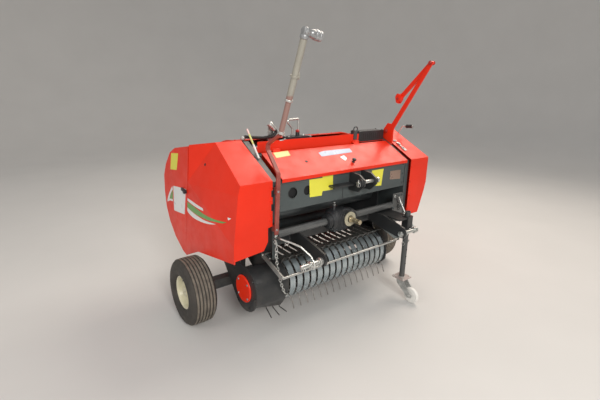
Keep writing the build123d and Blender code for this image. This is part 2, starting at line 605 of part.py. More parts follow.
POLE_FOOT, POLE_HEAD = (-578.0, -20.0, 1364.0), (-575.0, -214.0, 1872.0)
pole_dir = (Vector(*POLE_HEAD) - Vector(*POLE_FOOT)).normalized()
with BuildPart() as stowed_shaft:
    low = Plane(origin=Vector(*POLE_FOOT) + pole_dir * 6, z_dir=pole_dir)
    extrude(disc(low, 0, 0, 16), amount=230)
    extrude(disc(low.offset(200), 0, 0, 22), amount=10)
    extrude(disc(low.offset(208), 0, 0, 19), amount=331)
    extrude(disc(low.offset(336), 0, 0, 25), amount=9)
save(stowed_shaft, "stowed_shaft")

with BuildPart() as shaft_yoke:
    head = Vector(*POLE_FOOT) + pole_dir * 550
    extrude(disc(Plane(origin=head - pole_dir * 4.5, z_dir=pole_dir), 0, 0, 24), amount=46)
    cross = Vector(1, 0.05, -0.16)
    extrude(disc(Plane(origin=head + pole_dir * 30 - cross * 14, z_dir=cross), 0, 0, 24), amount=90)
    extrude(disc(Plane(origin=head + pole_dir * 30 + cross * 72, z_dir=cross), 0, 0, 28), amount=34)
save(shaft_yoke, "shaft_yoke")

# folded arm of flat bar: outer bar, inner bar and the plate at its foot
ARM_OUT = [(196, 1300), (-122, 1826), (-98, 1834), (-88, 1826), (232, 1318)]
ARM_IN = [(-112, 1818), (-100, 1838), (-84, 1836), (172, 1572), (150, 1544)]
with BuildPart() as support_arm:
    extrude(outline(yz(714), ARM_OUT), amount=12)
    extrude(outline(yz(726), ARM_IN), amount=12)
    extrude(outline(yz(714), [(195, roof(195, 8)), (318, roof(318, 8)), (284, 1312), (252, 1356),
                              (212, 1352), (190, 1312)]), amount=12)
    extrude(disc(yz(704), 250, 1292, 9), amount=34)
    extrude(disc(yz(708), -102, 1824, 12), amount=40)
    extrude(disc(yz(706), 158, 1560, 26, 10), amount=34)
save(support_arm, "support_arm")

with BuildPart() as cover_handle:
    with BuildLine() as handle_path:
        FilletPolyline((972.3, 352, 1160), (986, 352, 1172), (986, 334, 1262), (986, 300, 1318), (986, 262, 1316),
                       radius=9)
    with BuildSketch(Plane(origin=handle_path.line @ 0, z_dir=handle_path.line % 0)):
        Circle(5)
    sweep(path=handle_path.line)
    extrude(disc(along((986, 270, 1316), (986, 190, 1322)), 0, 0, 13), amount=78)
save(cover_handle, "cover_handle")

with BuildPart() as hydraulic_valve:
    extrude(outline(yz(-265), [(320, 1219), (395, 1219), (395, 1290), (320, 1290)]), amount=190)
    extrude(disc(Plane.XY.offset(1288), -168, 346, 15), amount=30)
    extrude(disc(yz(-77), 357, 1268, 22), amount=38)
save(hydraulic_valve, "hydraulic_valve")

with BuildPart() as valve_pipe:
    with BuildLine() as pipe_path:
        FilletPolyline((-196, 372, 1290), (-196, 372, 1345), (-252, 372, 1404), (-140, 372, 1412),
                       (-140, 372, 1290), radius=13)
    with BuildSketch(Plane(origin=pipe_path.line @ 0, z_dir=pipe_path.line % 0)):
        Circle(7)
    sweep(path=pipe_path.line)
save(valve_pipe, "valve_pipe")

with BuildPart() as hydraulic_hose:
    with BuildLine() as hose_path:
        FilletPolyline((-360, 360.1, 1345.1), (-342, 362, 1328), (-368, 366, 1298), (-440, 376, 1290),
                       (-515, 390, 1296), (-575, 398, 1304), (-592, 399, 1280),
                       radius=[13, 22, 60, 60, 14])
    with BuildSketch(Plane(origin=hose_path.line @ 0, z_dir=hose_path.line % 0)):
        Circle(11)
    sweep(path=hose_path.line)
save(hydraulic_hose, "hydraulic_hose")

with BuildPart() as hose_coupler:
    extrude(disc(along((-362, 360, 1347), (-382, 359, 1366)), 0, 0, 17), amount=66)
    extrude(upright(382, [(-400, 1219), (-350, 1219), (-358, 1392), (-396, 1392)]), amount=6)
    extrude(upright(370, [(-396, 1368), (-366, 1368), (-366, 1390), (-396, 1390)]), amount=13)
save(hose_coupler, "hose_coupler")

# eye to lift the machine by, on the front of the twine box's back sheet
with BuildPart() as lifting_eye:
    with Locations((338, 255.5, 1321)):
        Torus(21, 5, rotation=(90, 0, 0))
    extrude(outline(yz(322), [(250.5, 1243), (261, 1243), (261, 1284), (258, 1302), (253, 1302), (250.5, 1296)]), amount=32)
save(lifting_eye, "lifting_eye")

with BuildPart() as indicator_rod:
    extrude(disc(along((-585, 205, roof(205, 8)), (-585, 352, 1362)), 0, 0, 6), amount=225)
save(indicator_rod, "indicator_rod")

with BuildPart() as stay_bars:
    with BuildLine() as left_bar:
        FilletPolyline((-583, 20, 716), (-583, -40, 716), (-552, -100, 706), (-520, -160, 690), (-484, -218, 640),
                       (-480, -248, 604), (-480, -242, 562), radius=12)
    with BuildSketch(Plane(origin=left_bar.line @ 0, z_dir=left_bar.line % 0)):
        Circle(6)
    sweep(path=left_bar.line)
    with BuildLine() as right_bar:
        FilletPolyline((566, 6, 800), (566, -40, 800), (562, -110, 700), (560, -150, 660),
                       (558, -212, 604), radius=12)
    with BuildSketch(Plane(origin=right_bar.line @ 0, z_dir=right_bar.line % 0)):
        Circle(6)
    sweep(path=right_bar.line)
    extrude(disc(yz(552), *LIFT, 22), amount=12)
    extrude(disc(yz(552), *LIFT, 14.05), amount=12, mode=Mode.SUBTRACT)
save(stay_bars, "stay_bars")

# check chain, held at the frame and hooked on the pickup guard: y z of its bends
CHAIN = [(-597, 20, 690), (-597, -10, 690), (-610, -30, 590), (-590, -30, 470), (-540, -16, 330),
         (-510, 4, 285)]
with BuildPart() as check_chain:
    with BuildLine() as chain_path:
        FilletPolyline(*CHAIN, radius=12)
    with BuildSketch(Plane(origin=chain_path.line @ 0, z_dir=chain_path.line % 0)):
        Circle(6)
    sweep(path=chain_path.line)
save(check_chain, "check_chain")
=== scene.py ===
import bpy, bmesh, json, math, random
from mathutils import Vector, Matrix, Quaternion
from mathutils.bvhtree import BVHTree


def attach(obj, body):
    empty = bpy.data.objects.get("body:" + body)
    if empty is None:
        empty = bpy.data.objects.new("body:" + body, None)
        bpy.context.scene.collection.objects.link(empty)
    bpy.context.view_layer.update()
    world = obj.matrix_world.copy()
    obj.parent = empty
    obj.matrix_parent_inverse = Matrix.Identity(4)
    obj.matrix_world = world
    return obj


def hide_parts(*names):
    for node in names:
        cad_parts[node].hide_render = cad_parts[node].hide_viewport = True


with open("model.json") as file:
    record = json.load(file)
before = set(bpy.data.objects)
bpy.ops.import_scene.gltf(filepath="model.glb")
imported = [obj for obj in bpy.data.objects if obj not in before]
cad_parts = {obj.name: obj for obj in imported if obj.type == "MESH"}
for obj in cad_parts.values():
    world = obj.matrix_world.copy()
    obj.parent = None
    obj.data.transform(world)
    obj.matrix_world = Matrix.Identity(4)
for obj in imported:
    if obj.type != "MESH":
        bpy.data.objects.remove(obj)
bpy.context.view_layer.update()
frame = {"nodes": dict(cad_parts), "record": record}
Y_MID = 386.75
random.seed(7)


def D(x, y, z):
    """drawing millimetres to model metres"""
    return Vector((x / 1000, (y - Y_MID) / 1000, z / 1000))


# ------------------------------------------------------------------ camera
YAW, PITCH, ROLL = math.radians(37.8316), math.radians(-14.9177), math.radians(1.1212)
FOCAL, U0, V0 = 382.4879, 295.7356, 189.4543


def make_camera():
    fwd = Vector((math.sin(YAW) * math.cos(PITCH), math.cos(YAW) * math.cos(PITCH), math.sin(PITCH)))
    right = Vector((math.cos(YAW), -math.sin(YAW), 0))
    up = right.cross(fwd)
    r2 = right * math.cos(ROLL) + up * math.sin(ROLL)
    u2 = up * math.cos(ROLL) - right * math.sin(ROLL)
    m = Matrix.Identity(4)
    for i in range(3):
        m[i][0], m[i][1], m[i][2] = r2[i], u2[i], -fwd[i]
    m[0][3], m[1][3], m[2][3] = -1.8765, -1.8465 - Y_MID / 1000, 1.6294
    data = bpy.data.cameras.new("camera")
    cam = bpy.data.objects.new("camera", data)
    bpy.context.scene.collection.objects.link(cam)
    cam.matrix_world = m
    data.sensor_fit = "HORIZONTAL"
    data.sensor_width = 36.0
    data.lens = FOCAL * 36.0 / 600.0
    data.shift_x = (300 - U0) / 600.0
    data.shift_y = (V0 - 200) / 600.0
    bpy.context.scene.camera = cam


make_camera()


# ------------------------------------------------------------------ floor and light
def make_stage():
    me = bpy.data.meshes.new("floor")
    # round studio floor that sweeps up into a plain wall
    prof = [(0.0, 0.0), (3.0, 0.0), (7.0, 0.0), (7.8, 0.06), (8.6, 0.26), (9.3, 0.62), (9.9, 1.10), (10.4, 1.75), (10.75, 2.5), (10.95, 3.4), (11.0, 4.4), (11.0, 7.0)]
    vs, fs = [(0, 0, 0)], []
    for r, z in prof[1:]:
        vs += [(r * math.cos(2 * math.pi * k / 96), r * math.sin(2 * math.pi * k / 96), z) for k in range(96)]
    for k in range(96):
        fs.append((0, 1 + k, 1 + (k + 1) % 96))
        for j in range(len(prof) - 2):
            a, b = 1 + 96 * j, 1 + 96 * (j + 1)
            fs.append((a + k, b + k, b + (k + 1) % 96, a + (k + 1) % 96))
    me.from_pydata(vs, [], fs)
    for q in me.polygons:
        q.use_smooth = True
    ob = bpy.data.objects.new("floor", me)
    bpy.context.scene.collection.objects.link(ob)
    m = bpy.data.materials.new("floor")
    m.use_nodes = True
    nt = m.node_tree
    b = nt.nodes["Principled BSDF"]
    b.inputs["Roughness"].default_value = 0.85
    tc = nt.nodes.new("ShaderNodeTexCoord")
    n = nt.nodes.new("ShaderNodeTexNoise")
    n.inputs["Scale"].default_value = 1.3
    n.inputs["Detail"].default_value = 5
    r = nt.nodes.new("ShaderNodeValToRGB")
    r.color_ramp.elements[0].color = (0.60, 0.595, 0.585, 1)
    r.color_ramp.elements[1].color = (0.66, 0.655, 0.645, 1)
    nt.links.new(tc.outputs["Object"], n.inputs["Vector"])
    nt.links.new(n.outputs["Fac"], r.inputs["Fac"])
    nt.links.new(r.outputs["Color"], b.inputs["Base Color"])
    me.materials.append(m)
    bpy.context.scene.view_settings.view_transform = "Standard"
    w = bpy.data.worlds.new("world")
    bpy.context.scene.world = w
    w.use_nodes = True
    bg = w.node_tree.nodes["Background"]
    bg.inputs[0].default_value = (1.0, 0.985, 0.965, 1)
    bg.inputs[1].default_value = 0.40
    for name, loc, size, power, col in (
            ("key", (-2.2, -5.4, 3.6), 2.2, 255, (1, 0.97, 0.93)),
            ("side", (-6.0, -0.5, 3.6), 3.0, 72, (1, 0.97, 0.93)),
            ("top", (3.2, 0.6, 4.9), 3.6, 215, (1, 0.88, 0.76)),
            ("back", (-1.0, 6.0, 4.0), 4.0, 6, (1, 0.97, 0.95))):
        ld = bpy.data.lights.new(name, "AREA")
        ld.size = size
        ld.energy = power
        ld.color = col
        lo = bpy.data.objects.new(name, ld)
        lo.location = loc
        lo.rotation_euler = (Vector((0, 0, 0.7)) - Vector(loc)).to_track_quat("-Z", "Y").to_euler()
        bpy.context.scene.collection.objects.link(lo)


make_stage()


# ------------------------------------------------------------------ materials
def finish_material(name, col, rough=0.4, metal=0.0, coat=0.0, coat_rough=0.1, spec=0.5, var=0.12, var_scale=2.2,
                    wear=None, wear_amount=0.6, dust=0.25, dust_col=(0.30, 0.25, 0.19), dust_height=0.55,
                    grain=0.05, grain_scale=420.0, wave=0.0, radius=0.0016, streak=None, rough_var=0.10,
                    tint=None):
    """paint, metal, rubber or plastic with tone changes, rubbed edges (a painted edge highlight on the carrier post),
    dust low down, grain and rounded edges
    """
    m = bpy.data.materials.new(name)
    m.use_nodes = True
    nt = m.node_tree
    N, L = nt.nodes, nt.links
    b = N["Principled BSDF"]
    b.inputs["Metallic"].default_value = metal
    b.inputs["Coat Weight"].default_value = coat
    b.inputs["Coat Roughness"].default_value = coat_rough
    b.inputs["Specular IOR Level"].default_value = spec
    tc = N.new("ShaderNodeTexCoord")

    def noise(scale, detail=5, rough_=0.55, vec=None):
        n = N.new("ShaderNodeTexNoise")
        n.inputs["Scale"].default_value = scale
        n.inputs["Detail"].default_value = detail
        n.inputs["Roughness"].default_value = rough_
        L.new(vec or tc.outputs["Object"], n.inputs["Vector"])
        return n.outputs["Fac"]

    def maprange(v, a, b_, c, d):
        n = N.new("ShaderNodeMapRange")
        n.inputs[1].default_value, n.inputs[2].default_value = a, b_
        n.inputs[3].default_value, n.inputs[4].default_value = c, d
        L.new(v, n.inputs[0])
        return n.outputs[0]

    def mth(op, a, c=None):
        n = N.new("ShaderNodeMath")
        n.operation = op
        for i, v in enumerate((a, c)):
            if v is None:
                continue
            if isinstance(v, (int, float)):
                n.inputs[i].default_value = v
            else:
                L.new(v, n.inputs[i])
        return n.outputs[0]

    def mix(f, a, c):
        n = N.new("ShaderNodeMix")
        n.data_type = "RGBA"
        n.clamp_factor = True
        L.new(f, n.inputs[0])
        for i, v in ((6, a), (7, c)):
            if isinstance(v, tuple):
                n.inputs[i].default_value = (*v[:3], 1)
            else:
                L.new(v, n.inputs[i])
        return n.outputs[2]

    lo = tuple(max(0, c * (1 - var)) for c in col)
    hi = tuple(min(1, c * (1 + var) + 0.01 * var) for c in col)
    colour = mix(maprange(noise(var_scale), 0.35, 0.65, 0, 1), lo, hi)
    if tint:                                     # list of (axis, from, to, colour)
        sep0 = N.new("ShaderNodeSeparateXYZ")
        L.new(tc.outputs["Object"], sep0.inputs[0])
        for axis, a, c, tcol in tint:
            colour = mix(maprange(sep0.outputs[axis], a, c, 0, 1), colour, tcol)
    if streak:
        mp = N.new("ShaderNodeMapping")
        mp.inputs["Scale"].default_value = streak
        L.new(tc.outputs["Object"], mp.inputs[0])
        colour = mix(mth("MULTIPLY", maprange(noise(1.0, 6, 0.6, mp.outputs[0]), 0.52, 0.75, 0, 1), 0.35),
                     colour, tuple(c * 0.55 for c in col))
    bev = N.new("ShaderNodeBevel")
    bev.samples = 4
    bev.inputs["Radius"].default_value = radius
    geo = N.new("ShaderNodeNewGeometry")
    # edge mask: lighter colour on edges as rubbed wear; for the carrier post the pink edge colour is a painted edge
    # highlight
    if wear:
        dot = N.new("ShaderNodeVectorMath")
        dot.operation = "DOT_PRODUCT"
        L.new(bev.outputs["Normal"], dot.inputs[0])
        L.new(geo.outputs["True Normal"], dot.inputs[1])
        edge = maprange(dot.outputs["Value"], 0.995, 0.93, 0, 1)
        patch = maprange(noise(34, 6, 0.65), 0.46, 0.62, 0, 1)
        colour = mix(mth("MULTIPLY", mth("MULTIPLY", edge, patch), wear_amount), colour, wear)
    sep = N.new("ShaderNodeSeparateXYZ")
    L.new(tc.outputs["Object"], sep.inputs[0])
    low = maprange(sep.outputs[2], 0.05, dust_height, 1.0, 0.12)
    speck = maprange(noise(9, 8, 0.7), 0.42, 0.72, 0, 1)
    dusty = mth("MULTIPLY", mth("MULTIPLY", low, speck), dust)
    colour = mix(dusty, colour, dust_col)
    L.new(colour, b.inputs["Base Color"])
    r = maprange(noise(14, 6), 0.3, 0.7, max(0.02, rough - rough_var), min(1, rough + rough_var))
    L.new(mth("MINIMUM", mth("ADD", r, mth("MULTIPLY", dusty, 0.3)), 1.0), b.inputs["Roughness"])
    height = noise(grain_scale, 3)
    if wave:
        height = mth("ADD", mth("MULTIPLY", height, grain), mth("MULTIPLY", noise(5.0, 2), wave))
        strength, dist = 1.0, 0.01
    else:
        strength, dist = grain, 0.002
    bump = N.new("ShaderNodeBump")
    bump.inputs["Strength"].default_value = strength
    bump.inputs["Distance"].default_value = dist
    L.new(height, bump.inputs["Height"])
    L.new(bev.outputs["Normal"], bump.inputs["Normal"])
    L.new(bump.outputs["Normal"], b.inputs["Normal"])
    return m


FM = finish_material
RED = (0.78, 0.027, 0.006)
MAT = {
    "red_paint": FM("red_paint", RED, rough=0.38, coat=0.12, coat_rough=0.22, spec=0.24, var=0.07, wear=(0.55, 0.16, 0.12), wear_amount=0.35,
                    dust=0.10, dust_col=(0.34, 0.20, 0.13), grain=0.004, grain_scale=300, wave=0.05, radius=0.0022),
    "frame_paint": FM("frame_paint", (0.052, 0.064, 0.066), rough=0.42, coat=0.15, coat_rough=0.3, var=0.16, wear=(0.25, 0.25, 0.25),
                      dust=0.22, grain=0.06, radius=0.0016, streak=(1.5, 1.5, 9)),
    "beam_paint": FM("beam_paint", (0.062, 0.078, 0.080), rough=0.45, coat=0.1, coat_rough=0.3, var=0.10, wear=(0.3, 0.3, 0.3),
                     dust=0.10, grain=0.05, radius=0.0016, streak=(2, 1, 14)),
    # near-black copy of the grey frame paint for the hitch, pickup sides and guard, axle, chamber walls, leg sleeve and
    # top link bracket: painted shade
    "shaded_frame_paint": FM("shaded_frame_paint", (0.020, 0.022, 0.024), rough=0.40, coat=0.15, coat_rough=0.3, var=0.22, wear=(0.14, 0.14, 0.14),
                     dust=0.18, grain=0.06, radius=0.0016, streak=(1.5, 1.5, 9)),
    "tube_paint": FM("tube_paint", (0.115, 0.120, 0.120), rough=0.34, coat=0.2, coat_rough=0.3, metal=0.2, var=0.2, wear=(0.4, 0.4, 0.4),
                     dust=0.15, grain=0.06, radius=0.0014, streak=(12, 3, 3)),
    "leg_paint": FM("leg_paint", (0.060, 0.064, 0.066), rough=0.38, coat=0.15, coat_rough=0.3, metal=0.3, var=0.2, wear=(0.4, 0.4, 0.4),
                    dust=0.2, grain=0.06, radius=0.0014, tint=[(2, 0.190, 0.186, (0.52, 0.44, 0.42))]),
    # carrier post: darker brownish copy of the red paint as painted shade, with light pink edges at full strength
    # through the edge mask as a painted edge highlight
    "carrier_paint": FM("carrier_paint", (0.265, 0.055, 0.042), rough=0.42, coat=0.15, coat_rough=0.3, var=0.25, var_scale=9,
                        wear=(0.72, 0.46, 0.42), wear_amount=1.0, dust=0.1, grain=0.03, radius=0.0022),
    "dark_red": FM("dark_red", (0.42, 0.016, 0.010), rough=0.4, coat=0.2, var=0.1, wear=(0.4, 0.1, 0.08), dust=0.1, grain=0.03),
    "dull_silver": FM("dull_silver", (0.40, 0.41, 0.42), rough=0.40, metal=0.75, var=0.2, var_scale=20, wear=(0.65, 0.65, 0.65),
                      dust=0.1, grain=0.09, radius=0.0010),
    "rim_strip": FM("rim_strip", (0.30, 0.32, 0.31), rough=0.4, coat=0.3, coat_rough=0.25, var=0.12, wear=(0.5, 0.5, 0.5), dust=0.15),
    "roller_steel": FM("roller_steel", (0.16, 0.18, 0.19), rough=0.38, metal=0.8, var=0.2, wear=(0.4, 0.4, 0.4), dust=0.25,
                       grain=0.12, streak=(2, 40, 40)),
    "plated_steel": FM("plated_steel", (0.63, 0.64, 0.62), rough=0.32, metal=0.9, var=0.12, wear=(0.8, 0.8, 0.8), dust=0.25,
                       grain=0.07, radius=0.0008),
    "band_zinc": FM("band_zinc", (0.46, 0.53, 0.56), rough=0.30, metal=0.85, var=0.10, var_scale=9, wear=(0.85, 0.88, 0.9),
                    dust=0.20, dust_col=(0.30, 0.27, 0.22), dust_height=0.9, grain=0.06, radius=0.0018,
                    tint=[(1, -0.285, -0.279, (0.33, 0.32, 0.30))], streak=(60, 6, 6)),
    "galvanised": FM("galvanised", (0.52, 0.53, 0.52), rough=0.45, metal=0.75, var=0.22, var_scale=40, wear=(0.7, 0.7, 0.7), dust=0.25,
                     grain=0.10),
    "black_casting": FM("black_casting", (0.022, 0.024, 0.027), rough=0.42, coat=0.25, coat_rough=0.3, var=0.3, var_scale=12,
                        wear=(0.18, 0.18, 0.18), dust=0.12, grain=0.35, grain_scale=260),
    "cream_plastic": FM("cream_plastic", (0.40, 0.37, 0.27), rough=0.5, var=0.12, wear=(0.7, 0.66, 0.5), dust=0.2, grain=0.06),
    "cream_paint": FM("cream_paint", (0.66, 0.63, 0.46), rough=0.36, coat=0.3, coat_rough=0.25, var=0.06, wear=(0.5, 0.42, 0.3),
                      wear_amount=0.4, dust=0.22, dust_col=(0.42, 0.36, 0.25), grain=0.02),
    "tine_steel": FM("tine_steel", (0.21, 0.20, 0.19), rough=0.4, metal=0.6, var=0.25, wear=(0.5, 0.5, 0.5), dust=0.3, grain=0.08,
                     radius=0.0006),
    "chromed": FM("chromed", (0.80, 0.80, 0.80), rough=0.10, metal=1.0, var=0.04, dust=0.05, grain=0.01, rough_var=0.05),
    # the stowed shaft below z 1.578 turns reddish brown: a painted reflection of the red covers with some painted shade
    "shaft_paint": FM("shaft_paint", (0.34, 0.325, 0.28), rough=0.42, metal=0.25, coat=0.2, coat_rough=0.3, var=0.12, wear=(0.6, 0.56, 0.5),
                      dust=0.0, grain=0.05, streak=(8, 8, 1.5), tint=[(2, 1.588, 1.578, (0.32, 0.19, 0.165))]),
    "hose_rubber": FM("hose_rubber", (0.02, 0.02, 0.021), rough=0.55, var=0.3, wear=(0.06, 0.06, 0.06), dust=0.1, grain=0.25,
                      grain_scale=900),
    "white_paint": FM("white_paint", (0.80, 0.79, 0.76), rough=0.4, coat=0.2, var=0.06, wear=(0.5, 0.48, 0.45), dust=0.05,
                      tint=[(2, 1.268, 1.272, (0.62, 0.66, 0.22)), (2, 1.328, 1.332, (0.78, 0.56, 0.53))]),
    "spline_steel": FM("spline_steel", (0.50, 0.43, 0.30), rough=0.35, metal=0.85, var=0.2, var_scale=30, wear=(0.8, 0.72, 0.5),
                       dust=0.1, grain=0.05, radius=0.0008),
    "plate_yellow": FM("plate_yellow", (0.78, 0.74, 0.06), rough=0.38, coat=0.3, var=0.05, dust=0.06, grain=0.02, wear=(0.6, 0.58, 0.3)),
    "plate_pale": FM("plate_pale", (0.70, 0.58, 0.16), rough=0.38, coat=0.3, var=0.05, dust=0.05, grain=0.02, wear=(0.7, 0.6, 0.3)),
    "plate_blue": FM("plate_blue", (0.22, 0.33, 0.50), rough=0.35, coat=0.4, var=0.06, dust=0.04, grain=0.02, wear=(0.7, 0.7, 0.7)),
    "plate_white": FM("plate_white", (0.78, 0.80, 0.80), rough=0.35, coat=0.4, var=0.04, dust=0.06, grain=0.02, wear=(0.6, 0.6, 0.6)),
    "plate_grey": FM("plate_grey", (0.36, 0.25, 0.20), rough=0.32, metal=0.5, var=0.12, dust=0.05, grain=0.04, wear=(0.6, 0.5, 0.45)),
    "stripe_green": FM("stripe_green", (0.12, 0.33, 0.065), rough=0.36, coat=0.35, var=0.10, dust=0.12, grain=0.02, wear=(0.4, 0.5, 0.3)),
    "black_plastic": FM("black_plastic", (0.015, 0.015, 0.016), rough=0.4, var=0.3, dust=0.06, grain=0.15, wear=(0.08, 0.08, 0.08)),
    "dark_chain": FM("dark_chain", (0.05, 0.05, 0.05), rough=0.4, metal=0.7, var=0.3, dust=0.1, grain=0.1, wear=(0.4, 0.4, 0.4), radius=0.0006),
    # near-black, with no dust: painted shade for the inside of holes and hollows
    "painted_shade_black": FM("painted_shade_black", (0.006, 0.006, 0.007), rough=0.8, var=0.2, dust=0.0, grain=0.1),
}


def tyre_material():
    m = FM("tyre", (0.040, 0.036, 0.032), rough=0.72, var=0.2, var_scale=6, dust=0.20, dust_col=(0.20, 0.17, 0.13),
           dust_height=0.9, grain=0.25, grain_scale=320, radius=0.0012, wear=(0.1, 0.09, 0.08), wear_amount=0.5)
    nt = m.node_tree
    N, L = nt.nodes, nt.links
    b = N["Principled BSDF"]
    old = b.inputs["Base Color"].links[0].from_socket
    tc = N.new("ShaderNodeTexCoord")
    sub = N.new("ShaderNodeVectorMath")
    sub.operation = "SUBTRACT"
    sub.inputs[1].default_value = (0, 0.510 - Y_MID / 1000, 0.236)
    L.new(tc.outputs["Object"], sub.inputs[0])
    mul = N.new("ShaderNodeVectorMath")
    mul.operation = "MULTIPLY"
    mul.inputs[1].default_value = (0, 1, 1)
    L.new(sub.outputs[0], mul.inputs[0])
    ln = N.new("ShaderNodeVectorMath")
    ln.operation = "LENGTH"
    L.new(mul.outputs[0], ln.inputs[0])
    mr = N.new("ShaderNodeMapRange")
    mr.inputs[1].default_value, mr.inputs[2].default_value = 0.2285, 0.2335
    L.new(ln.outputs["Value"], mr.inputs[0])
    nz = N.new("ShaderNodeTexNoise")
    nz.inputs["Scale"].default_value = 22
    nz.inputs["Detail"].default_value = 7
    L.new(tc.outputs["Object"], nz.inputs["Vector"])
    m2 = N.new("ShaderNodeMapRange")
    m2.inputs[1].default_value, m2.inputs[2].default_value = 0.3, 0.62
    m2.inputs[3].default_value, m2.inputs[4].default_value = 0.35, 0.80
    L.new(nz.outputs["Fac"], m2.inputs[0])
    ml = N.new("ShaderNodeMath")
    ml.operation = "MULTIPLY"
    L.new(mr.outputs[0], ml.inputs[0])
    L.new(m2.outputs[0], ml.inputs[1])
    mx = N.new("ShaderNodeMix")
    mx.data_type = "RGBA"
    L.new(ml.outputs[0], mx.inputs[0])
    L.new(old, mx.inputs[6])
    mx.inputs[7].default_value = (0.235, 0.205, 0.165, 1)
    L.new(mx.outputs[2], b.inputs["Base Color"])
    return m


MAT["tyre"] = tyre_material()


# ------------------------------------------------------------------ mesh making
class Shape:
    """collects several bodies of mesh that become one piece"""

    def __init__(self):
        self.bm = bmesh.new()

    def face(self, vs):
        try:
            return self.bm.faces.new(vs)
        except ValueError:
            return None

    def lathe(self, p, axis, profile, seg=32, loop=False):
        """profile is (height, radius) in mm along the axis from p; ends at radius 0 close to a point"""
        a = Vector(axis).normalized()
        u = a.orthogonal().normalized()
        v = a.cross(u)
        rings = []
        for h, r in profile:
            c = p + a * (h / 1000)
            if r < 1e-6:
                rings.append([self.bm.verts.new(c)])
            else:
                rings.append([self.bm.verts.new(c + (u * math.cos(t) + v * math.sin(t)) * (r / 1000))
                              for t in (2 * math.pi * i / seg for i in range(seg))])
        pairs = list(zip(rings, rings[1:])) + ([(rings[-1], rings[0])] if loop else [])
        for A, B in pairs:
            for i in range(seg):
                j = (i + 1) % seg
                if len(A) == 1 and len(B) == 1:
                    continue
                if len(A) == 1:
                    self.face((A[0], B[j], B[i]))
                elif len(B) == 1:
                    self.face((A[i], A[j], B[0]))
                else:
                    self.face((A[i], A[j], B[j], B[i]))
        return self

    def tube(self, pts, r, seg=10, closed=False, radii=None):
        """round bar along points in metres, radius in mm"""
        n = len(pts)
        tang = []
        for i in range(n):
            if closed:
                t = pts[(i + 1) % n] - pts[i - 1]
            else:
                t = pts[min(i + 1, n - 1)] - pts[max(i - 1, 0)]
            tang.append(t.normalized())
        u = tang[0].orthogonal().normalized()
        rings = []
        for i in range(n):
            if i:
                q = tang[i - 1].rotation_difference(tang[i])
                u = (q @ u).normalized()
            v = tang[i].cross(u)
            rr = (radii[i] if radii else r) / 1000
            rings.append([self.bm.verts.new(pts[i] + (u * math.cos(t) + v * math.sin(t)) * rr)
                          for t in (2 * math.pi * k / seg for k in range(seg))])
        m = n if closed else n - 1
        for i in range(m):
            A, B = rings[i], rings[(i + 1) % n]
            off = 0
            if closed and i == n - 1:
                off = min(range(seg), key=lambda s: (A[0].co - B[s].co).length)
            for k in range(seg):
                self.face((A[k], A[(k + 1) % seg], B[(k + 1 + off) % seg], B[(k + off) % seg]))
        if not closed:
            self.face(list(reversed(rings[0])))
            self.face(rings[-1])
        return self

    def slab(self, pts, thick):
        """flat plate from a loop of points in metres, pushed out along the vector thick"""
        a = [self.bm.verts.new(p) for p in pts]
        b = [self.bm.verts.new(p + thick) for p in pts]
        n = len(pts)
        self.face(list(reversed(a)))
        self.face(b)
        for i in range(n):
            self.face((a[i], a[(i + 1) % n], b[(i + 1) % n], b[i]))
        return self

    def block(self, c, size, rot=None, ch=1.0):
        """box with chamfered edges, centre in metres, size and chamfer in mm"""
        hx, hy, hz = (s / 2000 for s in size)
        k = ch / 1000
        vs = []
        R = rot or Matrix.Identity(3)
        lay = ((-hz, k), (-hz + k, 0), (hz - k, 0), (hz, k))
        rings = []
        for z, i in lay:
            x, y, c2 = hx - i, hy - i, min(k, hx * 0.4, hy * 0.4)
            loop = [(-x + c2, -y), (x - c2, -y), (x, -y + c2), (x, y - c2), (x - c2, y), (-x + c2, y), (-x, y - c2), (-x, -y + c2)]
            rings.append([self.bm.verts.new(c + R @ Vector((a, b, z))) for a, b in loop])
        self.face(list(reversed(rings[0])))
        self.face(rings[-1])
        for A, B in zip(rings, rings[1:]):
            for i in range(8):
                self.face((A[i], A[(i + 1) % 8], B[(i + 1) % 8], B[i]))
        return self

    def bolt(self, p, n, af=13.0, head=6.0, washer=True, shank=0.0):
        """hexagon head with a washer, standing on p along n"""
        n = Vector(n).normalized()
        t0 = 0.0
        if washer:
            self.lathe(p, n, [(0, 0), (0, af * 0.88), (0.3, af * 0.92), (1.6, af * 0.92), (1.9, af * 0.86), (1.9, 0)], 18)
            t0 = 1.9
        R = af / math.sqrt(3)
        u = n.orthogonal().normalized()
        u = Quaternion(n, random.uniform(0, 1.0)) @ u
        v = n.cross(u)
        rings = []
        for h, f in ((t0, 1.0), (t0 + head * 0.86, 1.0), (t0 + head, 0.86)):
            rings.append([self.bm.verts.new(p + n * (h / 1000) + (u * math.cos(a) + v * math.sin(a)) * (R * f / 1000))
                          for a in (math.pi / 3 * i for i in range(6))])
        for A, B in zip(rings, rings[1:]):
            for i in range(6):
                self.face((A[i], A[(i + 1) % 6], B[(i + 1) % 6], B[i]))
        self.face(rings[-1])
        if shank:
            self.lathe(p + n * ((t0 + head) / 1000), n, [(0, 0), (0, R * 0.52), (shank - 1, R * 0.52), (shank, R * 0.4), (shank, 0)], 12)
        return self

    def weld(self, pts, r=3.0, step=5.0):
        """scalloped weld bead along straight runs"""
        out = []
        for a, b in zip(pts, pts[1:]):
            k = max(2, int((b - a).length * 1000 / step))
            out += [a + (b - a) * (i / k) for i in range(k)]
        out.append(pts[-1])
        rad = [r * (0.8 + 0.35 * ((i % 2) == 0) + random.uniform(-0.08, 0.08)) for i in range(len(out))]
        rad[0] = rad[-1] = r * 0.5
        return self.tube(out, r, 7, radii=rad)

